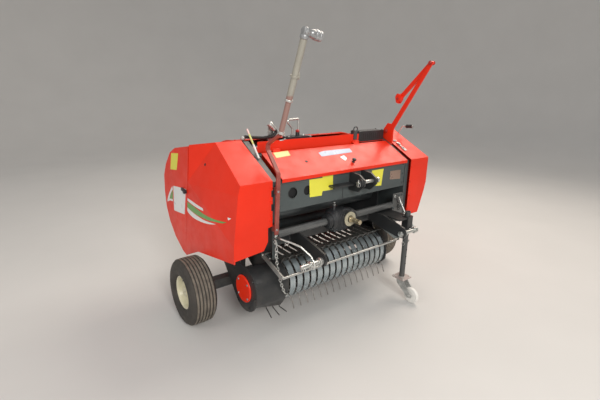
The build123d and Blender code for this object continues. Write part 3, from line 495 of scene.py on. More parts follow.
    def done(self, name, body, mat, slot, angle=38, replaces=()):
        bmesh.ops.recalc_face_normals(self.bm, faces=self.bm.faces[:])
        me = bpy.data.meshes.new(name)
        self.bm.to_mesh(me)
        self.bm.free()
        for p in me.polygons:
            p.use_smooth = True
        me.set_sharp_from_angle(angle=math.radians(angle))
        me.materials.append(MAT[mat])
        ob = bpy.data.objects.new(name, me)
        bpy.context.scene.collection.objects.link(ob)
        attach(ob, body)
        if replaces:
            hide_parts(*replaces)
        return ob


def rp(angle, radius, axis=(160.0, 335.0)):
    a = math.radians(angle)
    return axis[0] + radius * math.cos(a), axis[1] + radius * math.sin(a)


def smooth_path(pts, n=6):
    """Catmull-Rom points through pts"""
    out = []
    P = [pts[0] * 2 - pts[1]] + list(pts) + [pts[-1] * 2 - pts[-2]]
    for i in range(1, len(P) - 2):
        for k in range(n):
            t = k / n
            a, b, c, d = P[i - 1], P[i], P[i + 1], P[i + 2]
            out.append(0.5 * ((2 * b) + (c - a) * t + (2 * a - 5 * b + 4 * c - d) * t * t + (3 * b - a - 3 * c + d) * t ** 3))
    out.append(pts[-1])
    return out


def round_corners(pts, r, n=5):
    """loop of 3-D points with corners rounded by r mm"""
    out = []
    m = len(pts)
    for i in range(m):
        p, a, b = pts[i], pts[i - 1], pts[(i + 1) % m]
        k = min(r / 1000, (a - p).length * 0.45, (b - p).length * 0.45)
        s, e = p + (a - p).normalized() * k, p + (b - p).normalized() * k
        for j in range(n + 1):
            t = j / n
            out.append(s * (1 - t) ** 2 + p * 2 * t * (1 - t) + e * t * t)
    return out


# ------------------------------------------------------------------ surfaces on the CAD nodes
slots = {s["node"]: s["material_slot"] for s in frame["record"]["subparts"]}
# hitch, pickup sides, guard, axle, chamber walls, leg sleeve and top link bracket take the near-black copy of the frame
# paint as painted shade
SPECIAL = {"front_beam": "beam_paint", "pickup_bands": "band_zinc", "input_shaft": "spline_steel", "hitch_frame": "shaded_frame_paint",
           "pickup_side_plates": "shaded_frame_paint", "pickup_guard": "shaded_frame_paint", "axle": "shaded_frame_paint", "chamber_walls": "shaded_frame_paint",
           "leg_sleeve": "shaded_frame_paint", "top_link_bracket": "shaded_frame_paint", "leg_tube": "leg_paint", "drive_tube": "tube_paint", "shaft_carrier": "carrier_paint"}
for n, o in frame["nodes"].items():
    for i in range(len(o.material_slots)):
        o.material_slots[i].material = MAT[SPECIAL.get(n, slots[n])]


# ------------------------------------------------------------------ wheels
def make_wheels():
    side_in = [(22, 118), (14, 122), (8, 130), (4, 141), (3.2, 146), (2.2, 147), (0.6, 158), (0, 170), (0.4, 180), (1.6, 188),
               (1.2, 190), (3.4, 200), (7, 210), (12, 218.5), (18, 225), (24.5, 229.5)]
    ribs = []
    u = 27.0
    crown = lambda x: 236.0 - 2.6 * ((x - 92.5) / 65.5) ** 2
    for k in range(6):
        c = crown(u + 7.7)
        ribs += [(u, c - 7.5), (u + 0.7, c - 1.4), (u + 2.0, c), (u + 7.7, c + 0.1), (u + 13.4, c), (u + 14.7, c - 1.4), (u + 15.4, c - 7.5)]
        u += 23.1
    side_out = [(185 - a, r) for a, r in reversed(side_in)]
    prof = side_in + ribs + side_out
    rim = [(20, 108), (20, 117.3), (25, 117.3), (27, 112), (58, 107), (64, 101), (112, 99), (116, 92), (114, 74), (113, 52), (114, 41),
           (119, 36), (144, 34.5), (148, 33), (150, 30), (150, 9), (149, 7.5), (147.5, 7.5), (147.5, 29), (143, 31), (120, 33.5),
           (117, 40), (117, 52), (118, 74), (120, 93), (125, 98.5), (140, 101), (152, 104.5), (159, 109), (161, 114), (161.5, 117.3),
           (165, 117.3), (165, 113.5), (163.5, 108), (158, 102.5), (150, 99.5), (140, 96.5), (128, 93.5), (124, 88), (122, 74), (121, 52),
           (122, 45), (124, 40.5), (144, 37.5), (150, 37)]
    # the dish is one closed section: back of the well, web, hub, then the front faces out to the lip
    web = [(20, 108), (20, 117.3), (25, 117.3), (28, 110.5), (60, 106.5), (120, 106.5), (150, 107.5), (161, 112), (162, 117.3), (165.3, 117.3),
           (166, 115), (165, 109.5), (160, 104.5), (150, 101.5), (136, 99.5), (127, 96), (123, 89), (121, 74), (120.5, 56), (121.5, 46),
           (126, 38.5), (146, 35), (149.2, 34), (150.5, 31.5), (150.8, 12), (150.2, 8.2), (148, 7.6), (144, 7.6), (144, 30), (60, 30), (60, 33.8),
           (112, 34.5), (117, 45), (117.5, 75), (118, 90), (114, 100), (64, 101.5), (30, 105)]
    for name, s in (("left", -1), ("right", 1)):
        p = D(s * 859, 510, 236)
        S = Shape().lathe(p, (s, 0, 0), prof, 96, loop=True)
        S.done(f"ribbed_tyre_{name}", f"wheel_{name}", "tyre", "tyre", 30, (f"tyre_{name}",))
        R = Shape().lathe(p, (s, 0, 0), web, 64, loop=True)
        R.done(f"dished_rim_{name}", f"wheel_{name}", "cream_paint", "cream_paint", 40, (f"rim_{name}",))
        V = Shape()
        q = p + Vector((s * 0.128, 0.0, 0.084))
        V.tube([q, q + Vector((s * 0.012, 0, 0.001)), q + Vector((s * 0.026, 0, 0.003))], 3.2, 12)
        V.lathe(q + Vector((s * 0.024, 0, 0.0029)), (s, 0, 0.1), [(0, 0), (0, 4.2), (8, 4.2), (9, 3.4), (9, 0)], 12)
        V.lathe(p + Vector((s * 0.1436, 0, 0)), (s, 0, 0), [(0, 0), (0, 8.5), (0.6, 8.5), (0.8, 7), (0.8, 0)], 20)
        V.done(f"valve_stem_{name}", f"wheel_{name}", "black_plastic", "hose_rubber")


make_wheels()


# ------------------------------------------------------------------ chains
def link_points(c, along, side, L=30.0, W=17.0, n=5):
    """centre line of an oval chain link"""
    a, s = along.normalized(), side.normalized()
    pts = []
    r = W / 2 / 1000
    h = (L - W) / 2 / 1000
    for k in range(n + 1):
        t = -math.pi / 2 + math.pi * k / n
        pts.append(c + a * (h + r * math.cos(t)) + s * (r * math.sin(t)))
    for k in range(n + 1):
        t = math.pi / 2 + math.pi * k / n
        pts.append(c + a * (-h + r * math.cos(t)) + s * (r * math.sin(t)))
    return pts


def chain(S, pts, pitch=22.0, wire=2.6, L=28.5, W=14.5):
    length, seg = [0.0], []
    for a, b in zip(pts, pts[1:]):
        length.append(length[-1] + (b - a).length)
    total = length[-1]
    n = int(total * 1000 / pitch)
    for i in range(n):
        d = (i + 0.5) * total / n
        k = max(j for j in range(len(pts) - 1) if length[j] <= d)
        t = (pts[k + 1] - pts[k]).normalized()
        c = pts[k] + t * (d - length[k])
        side = t.cross(Vector((0.35, 1, 0.1))).normalized()
        if i % 2:
            side = t.cross(side).normalized()
        side = Quaternion(t, math.radians(random.uniform(-14, 14))) @ side
        S.tube(link_points(c, t, side, L, W), wire, 8, closed=True)
    return n


CHAIN = [D(-598, 6, 690), D(-598, -14, 664), D(-607, -27, 590), D(-592, -30, 480), D(-556, -22, 370), D(-530, -12, 312)]
S = Shape()
chain(S, smooth_path(CHAIN, 5))
hook = smooth_path([D(-530, -12, 318), D(-522, -12, 306), D(-512, -6, 296), D(-500, -2, 290), D(-494, 2, 280), D(-500, 6, 270), D(-510, 7, 272)], 5)
S.tube(hook, 4.0, 9)
S.tube(smooth_path([D(-598, 24, 697), D(-598, 8, 701), D(-598, -6, 696), D(-598, -8, 684), D(-598, 0, 678)], 5), 4.2, 9)
S.done("check_chain_links", "frame", "plated_steel", "plated_steel", 60, ("check_chain",))
S = Shape()
chain(S, smooth_path([D(592, 2, 792), D(590, -10, 765), D(598, -14, 735), D(606, -14, 705), D(610, -12, 686)], 5), pitch=20, wire=2.8, L=26, W=15)
S.bolt(D(592, 6, 797), (0, -1, 0), 15, 7)
S.done("short_chain", "frame", "dark_chain", "plated_steel", 60)


# ------------------------------------------------------------------ gearbox dressing
S = Shape()
TUBE = (30.0, 722.0)
p0 = D(0, *TUBE)
for x in (-82, -66, -50, -34, -18, -2):
    S.lathe(p0 + Vector((x / 1000, 0, 0)), (1, 0, 0), [(-3, 60), (-2.4, 88), (-1.2, 89.5), (1.2, 89.5), (2.4, 88), (3, 60)], 40, loop=True)
for x, r in ((-118, 64), (-106, 66), (70, 68), (96, 60), (112, 50), (-134, 55)):
    S.lathe(p0 + Vector((x / 1000, 0, 0)), (1, 0, 0), [(-4, 40), (-4, r - 1.5), (-2.5, r), (2.5, r), (4, r - 1.5), (4, 40)], 40, loop=True)
S.lathe(D(0, 0, 740), (0, -1, 0), [(2, 20), (2, 62), (4, 64), (12, 64), (14, 61), (15, 50), (16, 50), (40, 49), (50, 47.5), (56.5, 47), (56.5, 20)], 40, loop=True)
for k in range(3):
    a = math.radians(20 + k * 70)
    c = D(0, 0, 740) + Vector((math.cos(a) * 0.05, -0.03, math.sin(a) * 0.05))
    S.block(c, (9, 40, 10), Matrix.Rotation(-a, 3, "Y"), 2)
S.done("gearbox_fins", "frame", "black_casting", "black_casting", 35)
S = Shape()
for k in range(4):
    a = math.radians(45 + 90 * k)
    S.bolt(D(math.cos(a) * 55, -14, 740 + math.sin(a) * 55), (0, -1, 0), 11, 6)
for k in range(8):
    a = math.radians(22 + 45 * k)
    S.bolt(D(104, TUBE[0] + math.cos(a) * 50, TUBE[1] + math.sin(a) * 50), (1, 0, 0), 9, 5)
    S.bolt(D(-127, TUBE[0] + math.cos(a) * 47, TUBE[1] + math.sin(a) * 47), (-1, 0, 0), 9, 5)
S.done("gearbox_bolts", "frame", "dark_chain", "black_casting")
S = Shape()
S.lathe(D(-82, 20, 836), (0, 0, 1), [(0, 0), (0, 12), (2, 12.6), (5, 12.6), (6, 11), (8, 7.5), (13, 7.5), (14, 9), (16, 9), (16, 0)], 6)
S.lathe(D(-82, 20, 850), (0, 0, 1), [(0, 0), (0, 9.5), (6, 9.5), (8, 7.6), (9, 4), (9, 0)], 20)
S.done("breather_plug", "frame", "plated_steel", "plated_steel")
S = Shape()
S.lathe(D(0, -56, 740), (0, -1, 0), [(-2, 49), (3, 52), (9, 52.5), (11, 50.5), (11, 27), (9.5, 25.5), (7, 25.5), (7, 44), (-2, 45)], 48, loop=True)
for k in range(6):
    a = math.radians(60 * k)
    S.block(D(math.cos(a) * 36, -64.5, 740 + math.sin(a) * 36), (4, 5, 18), Matrix.Rotation(math.pi / 2 - a, 3, "Y"), 1)
S.done("guard_ring", "frame", "cream_plastic", "cream_plastic", 40, ("drive_guard",))

# six wide splines with a ball groove near the end
S = Shape()


def spline_ring(y, crest, root):
    out = []
    for k in range(6):
        for da, r in ((-15.0, root), (-13.5, crest - 0.4), (-12.0, crest), (0.0, crest), (12.0, crest), (13.5, crest - 0.4), (15.0, root), (22.5, root - 0.3)):
            a = math.radians(60 * k + 36 + da)
            out.append(S.bm.verts.new(D(r * math.cos(a), y, 740 + r * math.sin(a))))
    return out


rings = [spline_ring(y, c, r) for y, c, r in ((-88, 17.4, 17.4), (-90, 17.4, 14.6), (-124, 17.4, 14.6), (-126, 15.0, 14.4), (-131, 14.6, 14.2), (-133, 17.4, 14.6),
                                              (-158, 17.4, 14.6), (-160.6, 14.4, 14.0))]
for A, B in zip(rings, rings[1:]):
    for i in range(48):
        S.face((A[i], A[(i + 1) % 48], B[(i + 1) % 48], B[i]))
S.face(rings[-1])
S.face(list(reversed(rings[0])))
S.lathe(D(0, -4, 740), (0, -1, 0), [(0, 0), (0, 17.4), (66, 17.4), (66, 21), (67, 22), (73, 22), (74, 21), (74, 17.4), (84, 17.4), (84, 0)], 36)
S.done("splined_stub", "drive", "spline_steel", "plated_steel", 30, ("input_shaft",))

# ------------------------------------------------------------------ pickup dressing
S = Shape()
cap = D(-747, 160, 335)
for k, (y, z) in enumerate(((214, 386), (101, 384), (101, 284), (214, 284))):
    S.bolt(D(-746.5, y, z), (-1, 0, 0), 9, 4)
S.done("cap_bolts", "frame", "dull_silver", "plated_steel")
S = Shape()
S.lathe(cap, (-1, 0, 0), [(-10, 70), (-10, 93), (-7, 94.5), (-3.5, 93.5), (-1.0, 91), (-0.4, 88), (-1.2, 84), (-3.2, 80), (-3.6, 74), (-2.2, 58), (-1.0, 36), (-0.6, 12), (-0.5, 0), (-6, 0), (-6, 70)], 56)
S.done("pickup_cap_face", "frame", "red_paint", "red_paint", 40)
S = Shape()
for k in range(16):
    x = -442 + 61.3 * k
    y, z = rp(106, 152.6)
    a = math.radians(106)
    S.lathe(D(x, y, z), (0, math.cos(a), math.sin(a)), [(0, 0), (0, 6.2), (1.2, 5.8), (2.4, 4.4), (3, 2), (3.1, 0)], 14)
    # lapped joint of the two strips of each band
    y, z = rp(112, 152.2)
    a = math.radians(112)
    nrm = Vector((0, math.cos(a), math.sin(a)))
    tan = Vector((0, -math.sin(a), math.cos(a)))
    c = D(x, y, z)
    hw = Vector((0.0222, 0, 0))
    S.slab([c - hw - tan * 0.0015, c + hw - tan * 0.0015, c + hw + tan * 0.0015, c - hw + tan * 0.0015], nrm * 0.0016)
S.done("band_rivets", "frame", "dark_chain", "plated_steel")
S = Shape()
for b in range(4):
    a0 = 20 + 90 * b
    cy, cz = rp(a0, 104)
    for k in range(-1, 15):
        x = -442 + (k + 0.5) * 61.3
        pts = []
        for j in range(31):
            t = j / 30
            ang = t * 2 * math.pi * 2.5
            pts.append(D(x - 9 + 18 * t, cy + 14.5 * math.cos(ang), cz + 14.5 * math.sin(ang)))
        S.tube(pts, 2.6, 6)
S.done("tine_coils", "reel", "tine_steel", "tine_steel", 60)

# side plate bolts, reel bearing
S = Shape()
for x, s in ((-735, -1), (513, 1)):
    for ang in (140, 190, 240, 290):
        y, z = rp(ang, 138)
        S.bolt(D(x, y, z), (s, 0, 0), 12, 6)
S.lathe(D(513, 160, 335), (1, 0, 0), [(0, 0), (0, 48), (3, 50), (6, 50), (9, 44), (12, 32), (20, 30), (24, 26), (24, 0)], 40)
for k in range(4):
    a = math.radians(45 + 90 * k)
    S.bolt(D(519, 160 + 41 * math.cos(a), 335 + 41 * math.sin(a)), (1, 0, 0), 10, 5)
S.done("pickup_bearing", "frame", "dark_chain", "black_casting")


# ------------------------------------------------------------------ plates and stripes (blank)
SIGHT = Vector((-1.8765, -1.8465 - Y_MID / 1000, 1.6294))


def skin_of(*names):
    """search tree over the outer faces of some nodes"""
    vs, fs = [], []
    for n in names:
        o = frame["nodes"][n]
        k = len(vs)
        vs += [o.matrix_world @ v.co for v in o.data.vertices]
        fs += [[k + i for i in f.vertices] for f in o.data.polygons]
    return BVHTree.FromPolygons(vs, fs)


FRONT_SKIN = skin_of("left_front_cover")
DOOR_SKIN = skin_of("left_rear_door")


def laid(name, loop, skin, mat, body, slot, thick=0.5, lift=0.25, step=12.0, r=0, cut=True):
    """thin film that follows a folded sheet; its loop is (y, z) in mm on the plane x = -898.5 and is carried along
    the line of sight to the sheet"""
    flat = [Vector((0, y / 1000, z / 1000)) for y, z in loop]
    if r:
        flat = round_corners(flat, r)
    bm = bmesh.new()
    bm.faces.new([bm.verts.new(p) for p in flat])
    if cut:                                      # stays clear of the gap between the cover and the door
        n = Vector((0, 1, 0.1802)).normalized()
        co = Vector((0, 0.583 - 0.006, 1.249))
        keep = skin is FRONT_SKIN
        if not keep:
            co.y += 0.014
        bmesh.ops.bisect_plane(bm, geom=bm.verts[:] + bm.edges[:] + bm.faces[:], plane_co=co, plane_no=n, clear_outer=keep, clear_inner=not keep)
    for axis in (1, 2):
        lo_, hi_ = min(v.co[axis] for v in bm.verts), max(v.co[axis] for v in bm.verts)
        k = int((hi_ - lo_) * 1000 / step)
        for i in range(1, k + 1):
            co = Vector((0, 0, 0))
            co[axis] = lo_ + (hi_ - lo_) * i / (k + 1)
            n = Vector((0, 0, 0))
            n[axis] = 1
            bmesh.ops.bisect_plane(bm, geom=bm.verts[:] + bm.edges[:] + bm.faces[:], plane_co=co, plane_no=n)
    bm.verts.index_update()
    hits = []
    for v in bm.verts:
        q = Vector((-0.8985, v.co.y - Y_MID / 1000, v.co.z))
        d = (q - SIGHT).normalized()
        loc, nor, idx, dist = skin.ray_cast(SIGHT, d)
        if loc is None:
            loc, nor, idx, dist = skin.find_nearest(q)
        if nor.dot(d) > 0:
            nor = -nor
        if nor.x > -0.6:
            nor = Vector((-1, 0, 0))
        hits.append((loc, nor))
    S = Shape()
    low = [S.bm.verts.new(p + n * (lift / 1000)) for p, n in hits]
    top = [S.bm.verts.new(p + n * ((lift + thick) / 1000)) for p, n in hits]
    for f in bm.faces:
        ids = [v.index for v in f.verts]
        S.face([top[i] for i in ids])
        S.face([low[i] for i in reversed(ids)])
    for e in bm.edges:
        if len(e.link_faces) == 1:
            i, j = e.verts[0].index, e.verts[1].index
            S.face((low[i], low[j], top[j], top[i]))
    bm.free()
    return S.done(name, body, mat, slot)


def sheet_piece(name, loop, normal, mat, body, slot, thick=0.5, r=0):
    n = Vector(normal).normalized()
    if r:
        loop = round_corners(loop, r)
    S = Shape()
    S.slab(loop, n * (thick / 1000))
    return S.done(name, body, mat, slot)


laid("stripe_green_front", [(700, 846), (670, 841), (602, 837), (528, 832), (458, 826), (390, 822), (323, 823), (258, 828), (194, 836), (130, 847), (67, 858), (117, 838),
                            (160, 828), (208, 819), (256, 810), (305, 800), (350, 795), (393, 791), (440, 787), (486, 785), (540, 786), (583, 789), (630, 794),
                            (670, 800), (700, 804)], FRONT_SKIN, "stripe_green", "frame", "red_paint")
laid("stripe_white_low", [(700, 790), (678, 779), (646, 761), (612, 753), (580, 748), (535, 747), (490, 749), (436, 754), (382, 761), (335, 770), (293, 779), (250, 791),
                          (209, 805), (258, 797), (306, 790), (350, 784), (394, 780), (450, 779), (502, 780), (550, 783), (600, 788), (640, 794), (670, 799.5),
                          (700, 803)], FRONT_SKIN, "plate_white", "frame", "red_paint", 0.4)
laid("stripe_white_top", [(662, 869), (620, 867), (573, 865), (525, 862), (477, 860), (435, 859), (394, 859), (388, 842), (432, 839), (480, 837), (528, 838), (576, 841),
                          (620, 845), (667, 849)], FRONT_SKIN, "plate_white", "frame", "red_paint", 0.4)
laid("stripe_tip", [(51, 894), (6, 900), (46, 877)], FRONT_SKIN, "plate_white", "frame", "red_paint", 0.4)
laid("stripe_white_rear", [(932, 893), (965, 868), (995, 838), (1026, 806), (1048, 776), (1062, 752), (1064, 738), (1036, 750), (998, 764), (943, 770),
                           (939, 788), (1000, 778), (1014, 775), (1002, 796), (985, 819), (958, 844), (929, 866)],
     DOOR_SKIN, "plate_white", "left_door", "red_paint", 0.4)
laid("stripe_green_rear", [(930, 862), (958, 840), (984, 816), (1000, 795), (1010, 777), (939, 790)], DOOR_SKIN, "stripe_green", "left_door", "red_paint", 0.4)
laid("blank_plate_white", [(912, 900), (669, 929), (716, 727), (926, 702)], DOOR_SKIN, "plate_white", "left_door", "white_paint", 0.9, r=10, step=30)
laid("blank_plate_yellow", [(912, 1147), (772, 1166), (822, 1036), (951, 1019)], DOOR_SKIN, "plate_yellow", "left_door", "white_paint", 0.6, r=6, step=30)

ROOF_N = Vector((0, -(1285 - 1084), 371)).normalized()


def roof(y, lift=0.0):
    return 1084 + 201 * y / 371 + lift


def on_roof(pts, lift=0.3):
    return [D(x, y, roof(y)) + ROOF_N * (lift / 1000) for x, y in pts]


sheet_piece("blank_plate_lid_left", on_roof([(-459, 231), (-334, 237), (-346, 189), (-467, 181)]), ROOF_N, "plate_pale", "lid", "white_paint", 0.5, 4)
sheet_piece("blank_strip_lid", on_roof([(-102, 186), (-48, 197), (219, 195), (210, 153), (-104, 146)]), ROOF_N, "plate_blue", "lid", "white_paint", 0.5, 8)
sheet_piece("blank_spot_lid", on_roof([(49, 122), (102, 133), (104, 100), (65, 79)]), ROOF_N, "plate_white", "lid", "white_paint", 0.5, 8)
S = Shape()
S.lathe(D(125, 59, roof(59)) + ROOF_N * 0.0002, ROOF_N, [(0, 0), (0, 11), (2, 12), (5, 11), (8, 7), (14, 7), (16, 12), (20, 15.5), (27, 15.5), (30, 12), (31, 0)], 28)
S.lathe(D(-263, 120, roof(120)) + ROOF_N * 0.0002, ROOF_N, [(0, 0), (0, 10.5), (0.8, 10.5), (1.6, 8.5), (1.8, 6), (0.5, 5), (0.5, 0)], 24)
S.done("lid_knob", "lid", "black_plastic", "hose_rubber")
S = Shape()
S.block(D(-905, 690, 914), (12, 82, 26), Matrix.Rotation(math.radians(4), 3, "X"), 4)
S.lathe(D(-909, 664, 912), (-1, 0, 0), [(0, 0), (0, 15), (3, 16), (8, 16), (11, 13), (12, 0)], 24)
S.done("side_latch", "left_door", "black_plastic", "hose_rubber")

S = Shape()
loc, nor, idx, dist = FRONT_SKIN.ray_cast(SIGHT, (D(-898.5, 330, 1159) - SIGHT).normalized())
S.lathe(loc + nor * 0.0002, nor, [(0, 0), (0, 9), (1.2, 9), (2, 7.5), (2, 5.5), (0.6, 5), (0.6, 0)], 24)
print("cover grommet", loc, nor)
S.done("cover_grommet", "frame", "black_plastic", "hose_rubber")

# blank plates on the front beam
FRONT = (0, -1, 0)


def on_beam(pts, y=24.6):
    return [D(x, y, z) for x, z in pts]


sheet_piece("blank_plate_beam_left", on_beam([(-313, 1048), (-198, 1046), (-198, 1056), (-101, 1053), (-97, 950), (-193, 952), (-199, 922), (-304, 927)]), FRONT, "plate_yellow", "frame", "white_paint", 0.6, 3)
sheet_piece("blank_plate_beam_right", on_beam([(297, 1039), (430, 1039), (416, 906), (297, 918)]), FRONT, "plate_yellow", "frame", "white_paint", 0.6, 3)
sheet_piece("blank_plate_beam_grey", on_beam([(513, 1009), (642, 1006), (645, 932), (515, 942)]), FRONT, "plate_grey", "frame", "white_paint", 0.6, 3)
S = Shape()
for x in (-447,):
    S.lathe(D(x, 24, 978.5), (0, 1, 0), [(2, 32.6), (0, 36), (-1.4, 36), (-2.2, 34), (-1.8, 32.6), (8, 32.2)], 40, loop=True)
S.slab([D(-2, 24.8, 870), D(2, 24.8, 870), D(2, 24.8, 968), D(-2, 24.8, 968)], Vector((0, -0.0007, 0)))
S.done("beam_hole_rims", "frame", "black_plastic", "frame_paint")
S = Shape()
for x, z in ((-548, 1050), (-548, 892), (676, 1050), (676, 892), (-548, 970), (676, 970)):
    S.bolt(D(x, 25, z), (0, -1, 0), 14, 7)
for x in (560, 625, 660):
    for z in (600, 700, 800):
        if not (x == 660 and z == 600):
            S.bolt(D(x, 6, z), (0, -1, 0), 13, 6, shank=5)
S.done("frame_front_bolts", "frame", "beam_paint", "frame_paint")

# near-black discs inside the beam behind the holes: painted shade of the beam's hollow inside
S = Shape()
for x in (-447, -323):
    S.lathe(D(x, 36, 978.5), (0, 1, 0), [(0, 0), (0, 40), (6, 40), (6, 0)], 28)
S.done("beam_hole_shade_discs", "frame", "painted_shade_black", "frame_paint")

# ------------------------------------------------------------------ top link bracket dressing
S = Shape()
TL = (-88.0, 1000.0)
for x, s in ((58, -1), (192, 1)):
    S.lathe(D(x, *TL), (s, 0, 0), [(0, 12.6), (0, 30), (2, 32), (8, 32), (10, 29), (10, 12.6)], 36, loop=True)
S.lathe(D(46, *TL), (-1, 0, 0), [(0, 12.6), (0, 19), (2, 20), (6, 20), (8, 18), (8, 12.6)], 28, loop=True)
S.weld([D(57, 24, 932), D(57, 24, 1056)], 3.5)
S.weld([D(193, 24, 932), D(193, 24, 1056)], 3.5)
S.weld([D(-138, 24, 983), D(56, 24, 983)], 3)
S.done("ear_bosses", "frame", "shaded_frame_paint", "frame_paint")
S = Shape()
S.lathe(D(28, *TL), (-1, 0, 0), [(0, 0), (0, 12.4), (2, 12.4), (4, 10.5), (4, 0)], 28)
S.lathe(D(230, *TL), (1, 0, 0), [(0, 0), (0, 20), (2, 21), (6, 21), (9, 17), (10, 0)], 28)
ring = []
for k in range(20):
    a = 2 * math.pi * k / 20
    ring.append(D(36, TL[0] + 17 * math.sin(a) - 2, TL[1] - 12 + 17 * math.cos(a)))
S.tube(ring, 1.7, 8, closed=True)
S.tube([D(36, TL[0], TL[1] + 24), D(36, TL[0], TL[1] - 26)], 3.2, 10)
S.done("top_pin_ends", "frame", "plated_steel", "plated_steel")

# ------------------------------------------------------------------ lower link pins
S = Shape()
for s in (-1, 1):
    for x, r, w in ((565, 14, 0), (497 if s < 0 else 535, 24, 6)):
        if w:
            S.lathe(D(s * x, -225, 590), (s, 0, 0), [(-w, 14.2), (-w, r - 1.5), (-w + 1.5, r), (w - 1.5, r), (w, r - 1.5), (w, 14.2)], 28, loop=True)
    S.lathe(D(s * 565, -225, 590), (s, 0, 0), [(-1, 0), (-1, 14.1), (0, 14.1), (3, 11), (3.2, 0)], 28)
    S.lathe(D(s * 414.5, -225, 590), (s, 0, 0), [(0, 14.2), (0, 26), (2, 27.5), (10, 27.5), (12, 25), (14, 18), (14, 14.2)], 28, loop=True)
    S.lathe(D(s * 371, -225, 590), (-s, 0, 0), [(-12, 22), (-10, 24), (-3, 24), (0, 21), (1, 14), (6, 13), (7, 0)], 6)
x = -548
ring = [D(x, -225 + 20 * math.sin(2 * math.pi * k / 20), 576 + 20 * math.cos(2 * math.pi * k / 20)) for k in range(20)]
S.tube(ring, 1.8, 8, closed=True)
S.tube([D(x, -225, 616), D(x, -225, 560)], 3.4, 10)
S.done("link_pin_collars", "frame", "plated_steel", "plated_steel")

S = Shape()
for x in (-400, 385):
    for x1 in (x - 1, x + 16):
        S.weld([D(x1, 109, 612), D(x1, 109, 688)], 3.5)
    S.weld([D(x, 108, 691), D(x + 15, 108, 691)], 3.5)
    S.lathe(D(x + (0 if x < 0 else 15), -225, 590), (-1 if x < 0 else 1, 0, 0), [(0, 14.3), (0, 33), (1.5, 35), (5, 35), (6, 33), (6, 14.3)], 36, loop=True)
S.weld([D(-564, 109, 640), D(-564, 109, 606), D(-564, 149, 603)], 3)
S.weld([D(692, 109, 640), D(692, 109, 606), D(692, 149, 603)], 3)
S.done("hitch_welds", "frame", "shaded_frame_paint", "frame_paint")

# stay bar ends
S = Shape()
S.lathe(D(-583, 19, 716), (0, -1, 0), [(0, 0), (0, 13), (3, 14), (10, 14), (12, 12), (12, 6.5)], 6)
S.lathe(D(566, 5, 800), (0, -1, 0), [(0, 0), (0, 13), (3, 14), (10, 14), (12, 12), (12, 6.5)], 6)
for c, ax in ((D(-480, -245, 586), (0, 0, 1)), (D(558, -218, 598), (1, 0, 0))):
    S.lathe(c, ax, [(-10, 7), (-10, 11), (-8, 12), (8, 12), (10, 11), (10, 7)], 20, loop=True)
S.tube(smooth_path([D(-584, -30, 716), D(-575, -46, 712), D(-560, -60, 700), D(-540, -64, 690), D(-548, -58, 676), D(-562, -52, 672)], 5), 3.4, 8)
S.done("stay_bar_ends", "frame", "plated_steel", "plated_steel")

# ------------------------------------------------------------------ stowed shaft head
PF, PH = Vector((-578.0, -20.0, 1364.0)), Vector((-575.0, -214.0, 1872.0))
pd = (PH - PF).normalized()


def P(v):
    return D(v.x, v.y, v.z)


head = PF + pd * 550
cross = Vector((1, 0.05, -0.16)).normalized()
up = cross.cross(Vector((0, 1, 0))).normalized()
side = cross.cross(up).normalized()
S = Shape()
c0 = head + pd * 30
S.lathe(P(head - pd * 6), pd, [(0, 0), (0, 22), (2, 24), (14, 24), (18, 20), (24, 18), (30, 16), (36, 14), (36, 0)], 28)
# two ears of the fork that holds the cross
for s in (-1, 1):
    base = head + pd * 8 + side * (17 * s)
    tip = c0 + cross * 6 + side * (17 * s)
    S.slab([P(base - cross * 14 - side * 3.5), P(base + cross * 14 - side * 3.5), P(tip + cross * 16 - side * 3.5), P(tip + cross * 10 + pd * 14 - side * 3.5),
            P(tip - cross * 8 + pd * 16 - side * 3.5), P(tip - cross * 18 + pd * 2 - side * 3.5)],
           (P(side) - P(Vector((0, 0, 0)))) * 7)
    S.lathe(P(tip - side * (3.5 * s) * -1), side * s, [(0, 0), (0, 11), (3, 11.5), (6, 9), (6.5, 0)], 24)
S.lathe(P(c0 - cross * 13), cross, [(0, 0), (0, 16), (3, 20), (10, 22), (20, 22), (26, 18), (34, 15), (40, 15), (46, 19), (52, 22.5), (66, 23.5), (74, 24)], 32)
S.lathe(P(c0 + cross * 60), cross, [(0, 24), (1, 27), (3, 28), (20, 28), (22, 25.5), (28, 25.5), (30, 27.6), (42, 27.6), (45, 25), (46, 20), (45, 17.6), (20, 17.6)], 32)
S.lathe(P(c0 - cross * 16), -cross, [(-4, 0), (-4, 18), (-1, 20), (0, 20), (1, 17), (1, 0)], 28)
S.done("shaft_joint", "frame", "dull_silver", "plated_steel", 40, ("shaft_yoke",))
S = Shape()
foot = PF + pd * 6
S.lathe(P(foot), pd, [(-2, 0), (-2, 19), (0, 21), (12, 21), (15, 18), (15, 16.4)], 28)
S.lathe(P(PF + pd * 208), pd, [(-4, 16.2), (-4, 21.5), (-2, 23), (6, 23), (9, 21.5), (9, 16.2)], 28, loop=True)
S.done("shaft_collars", "frame", "plated_steel", "shaft_paint")
S = Shape()
q = PF + pd * 348
S.block(P(q + Vector((22, 0, 0))), (10, 26, 34), None, 3)
S.done("shaft_button", "frame", "shaft_paint", "shaft_paint")

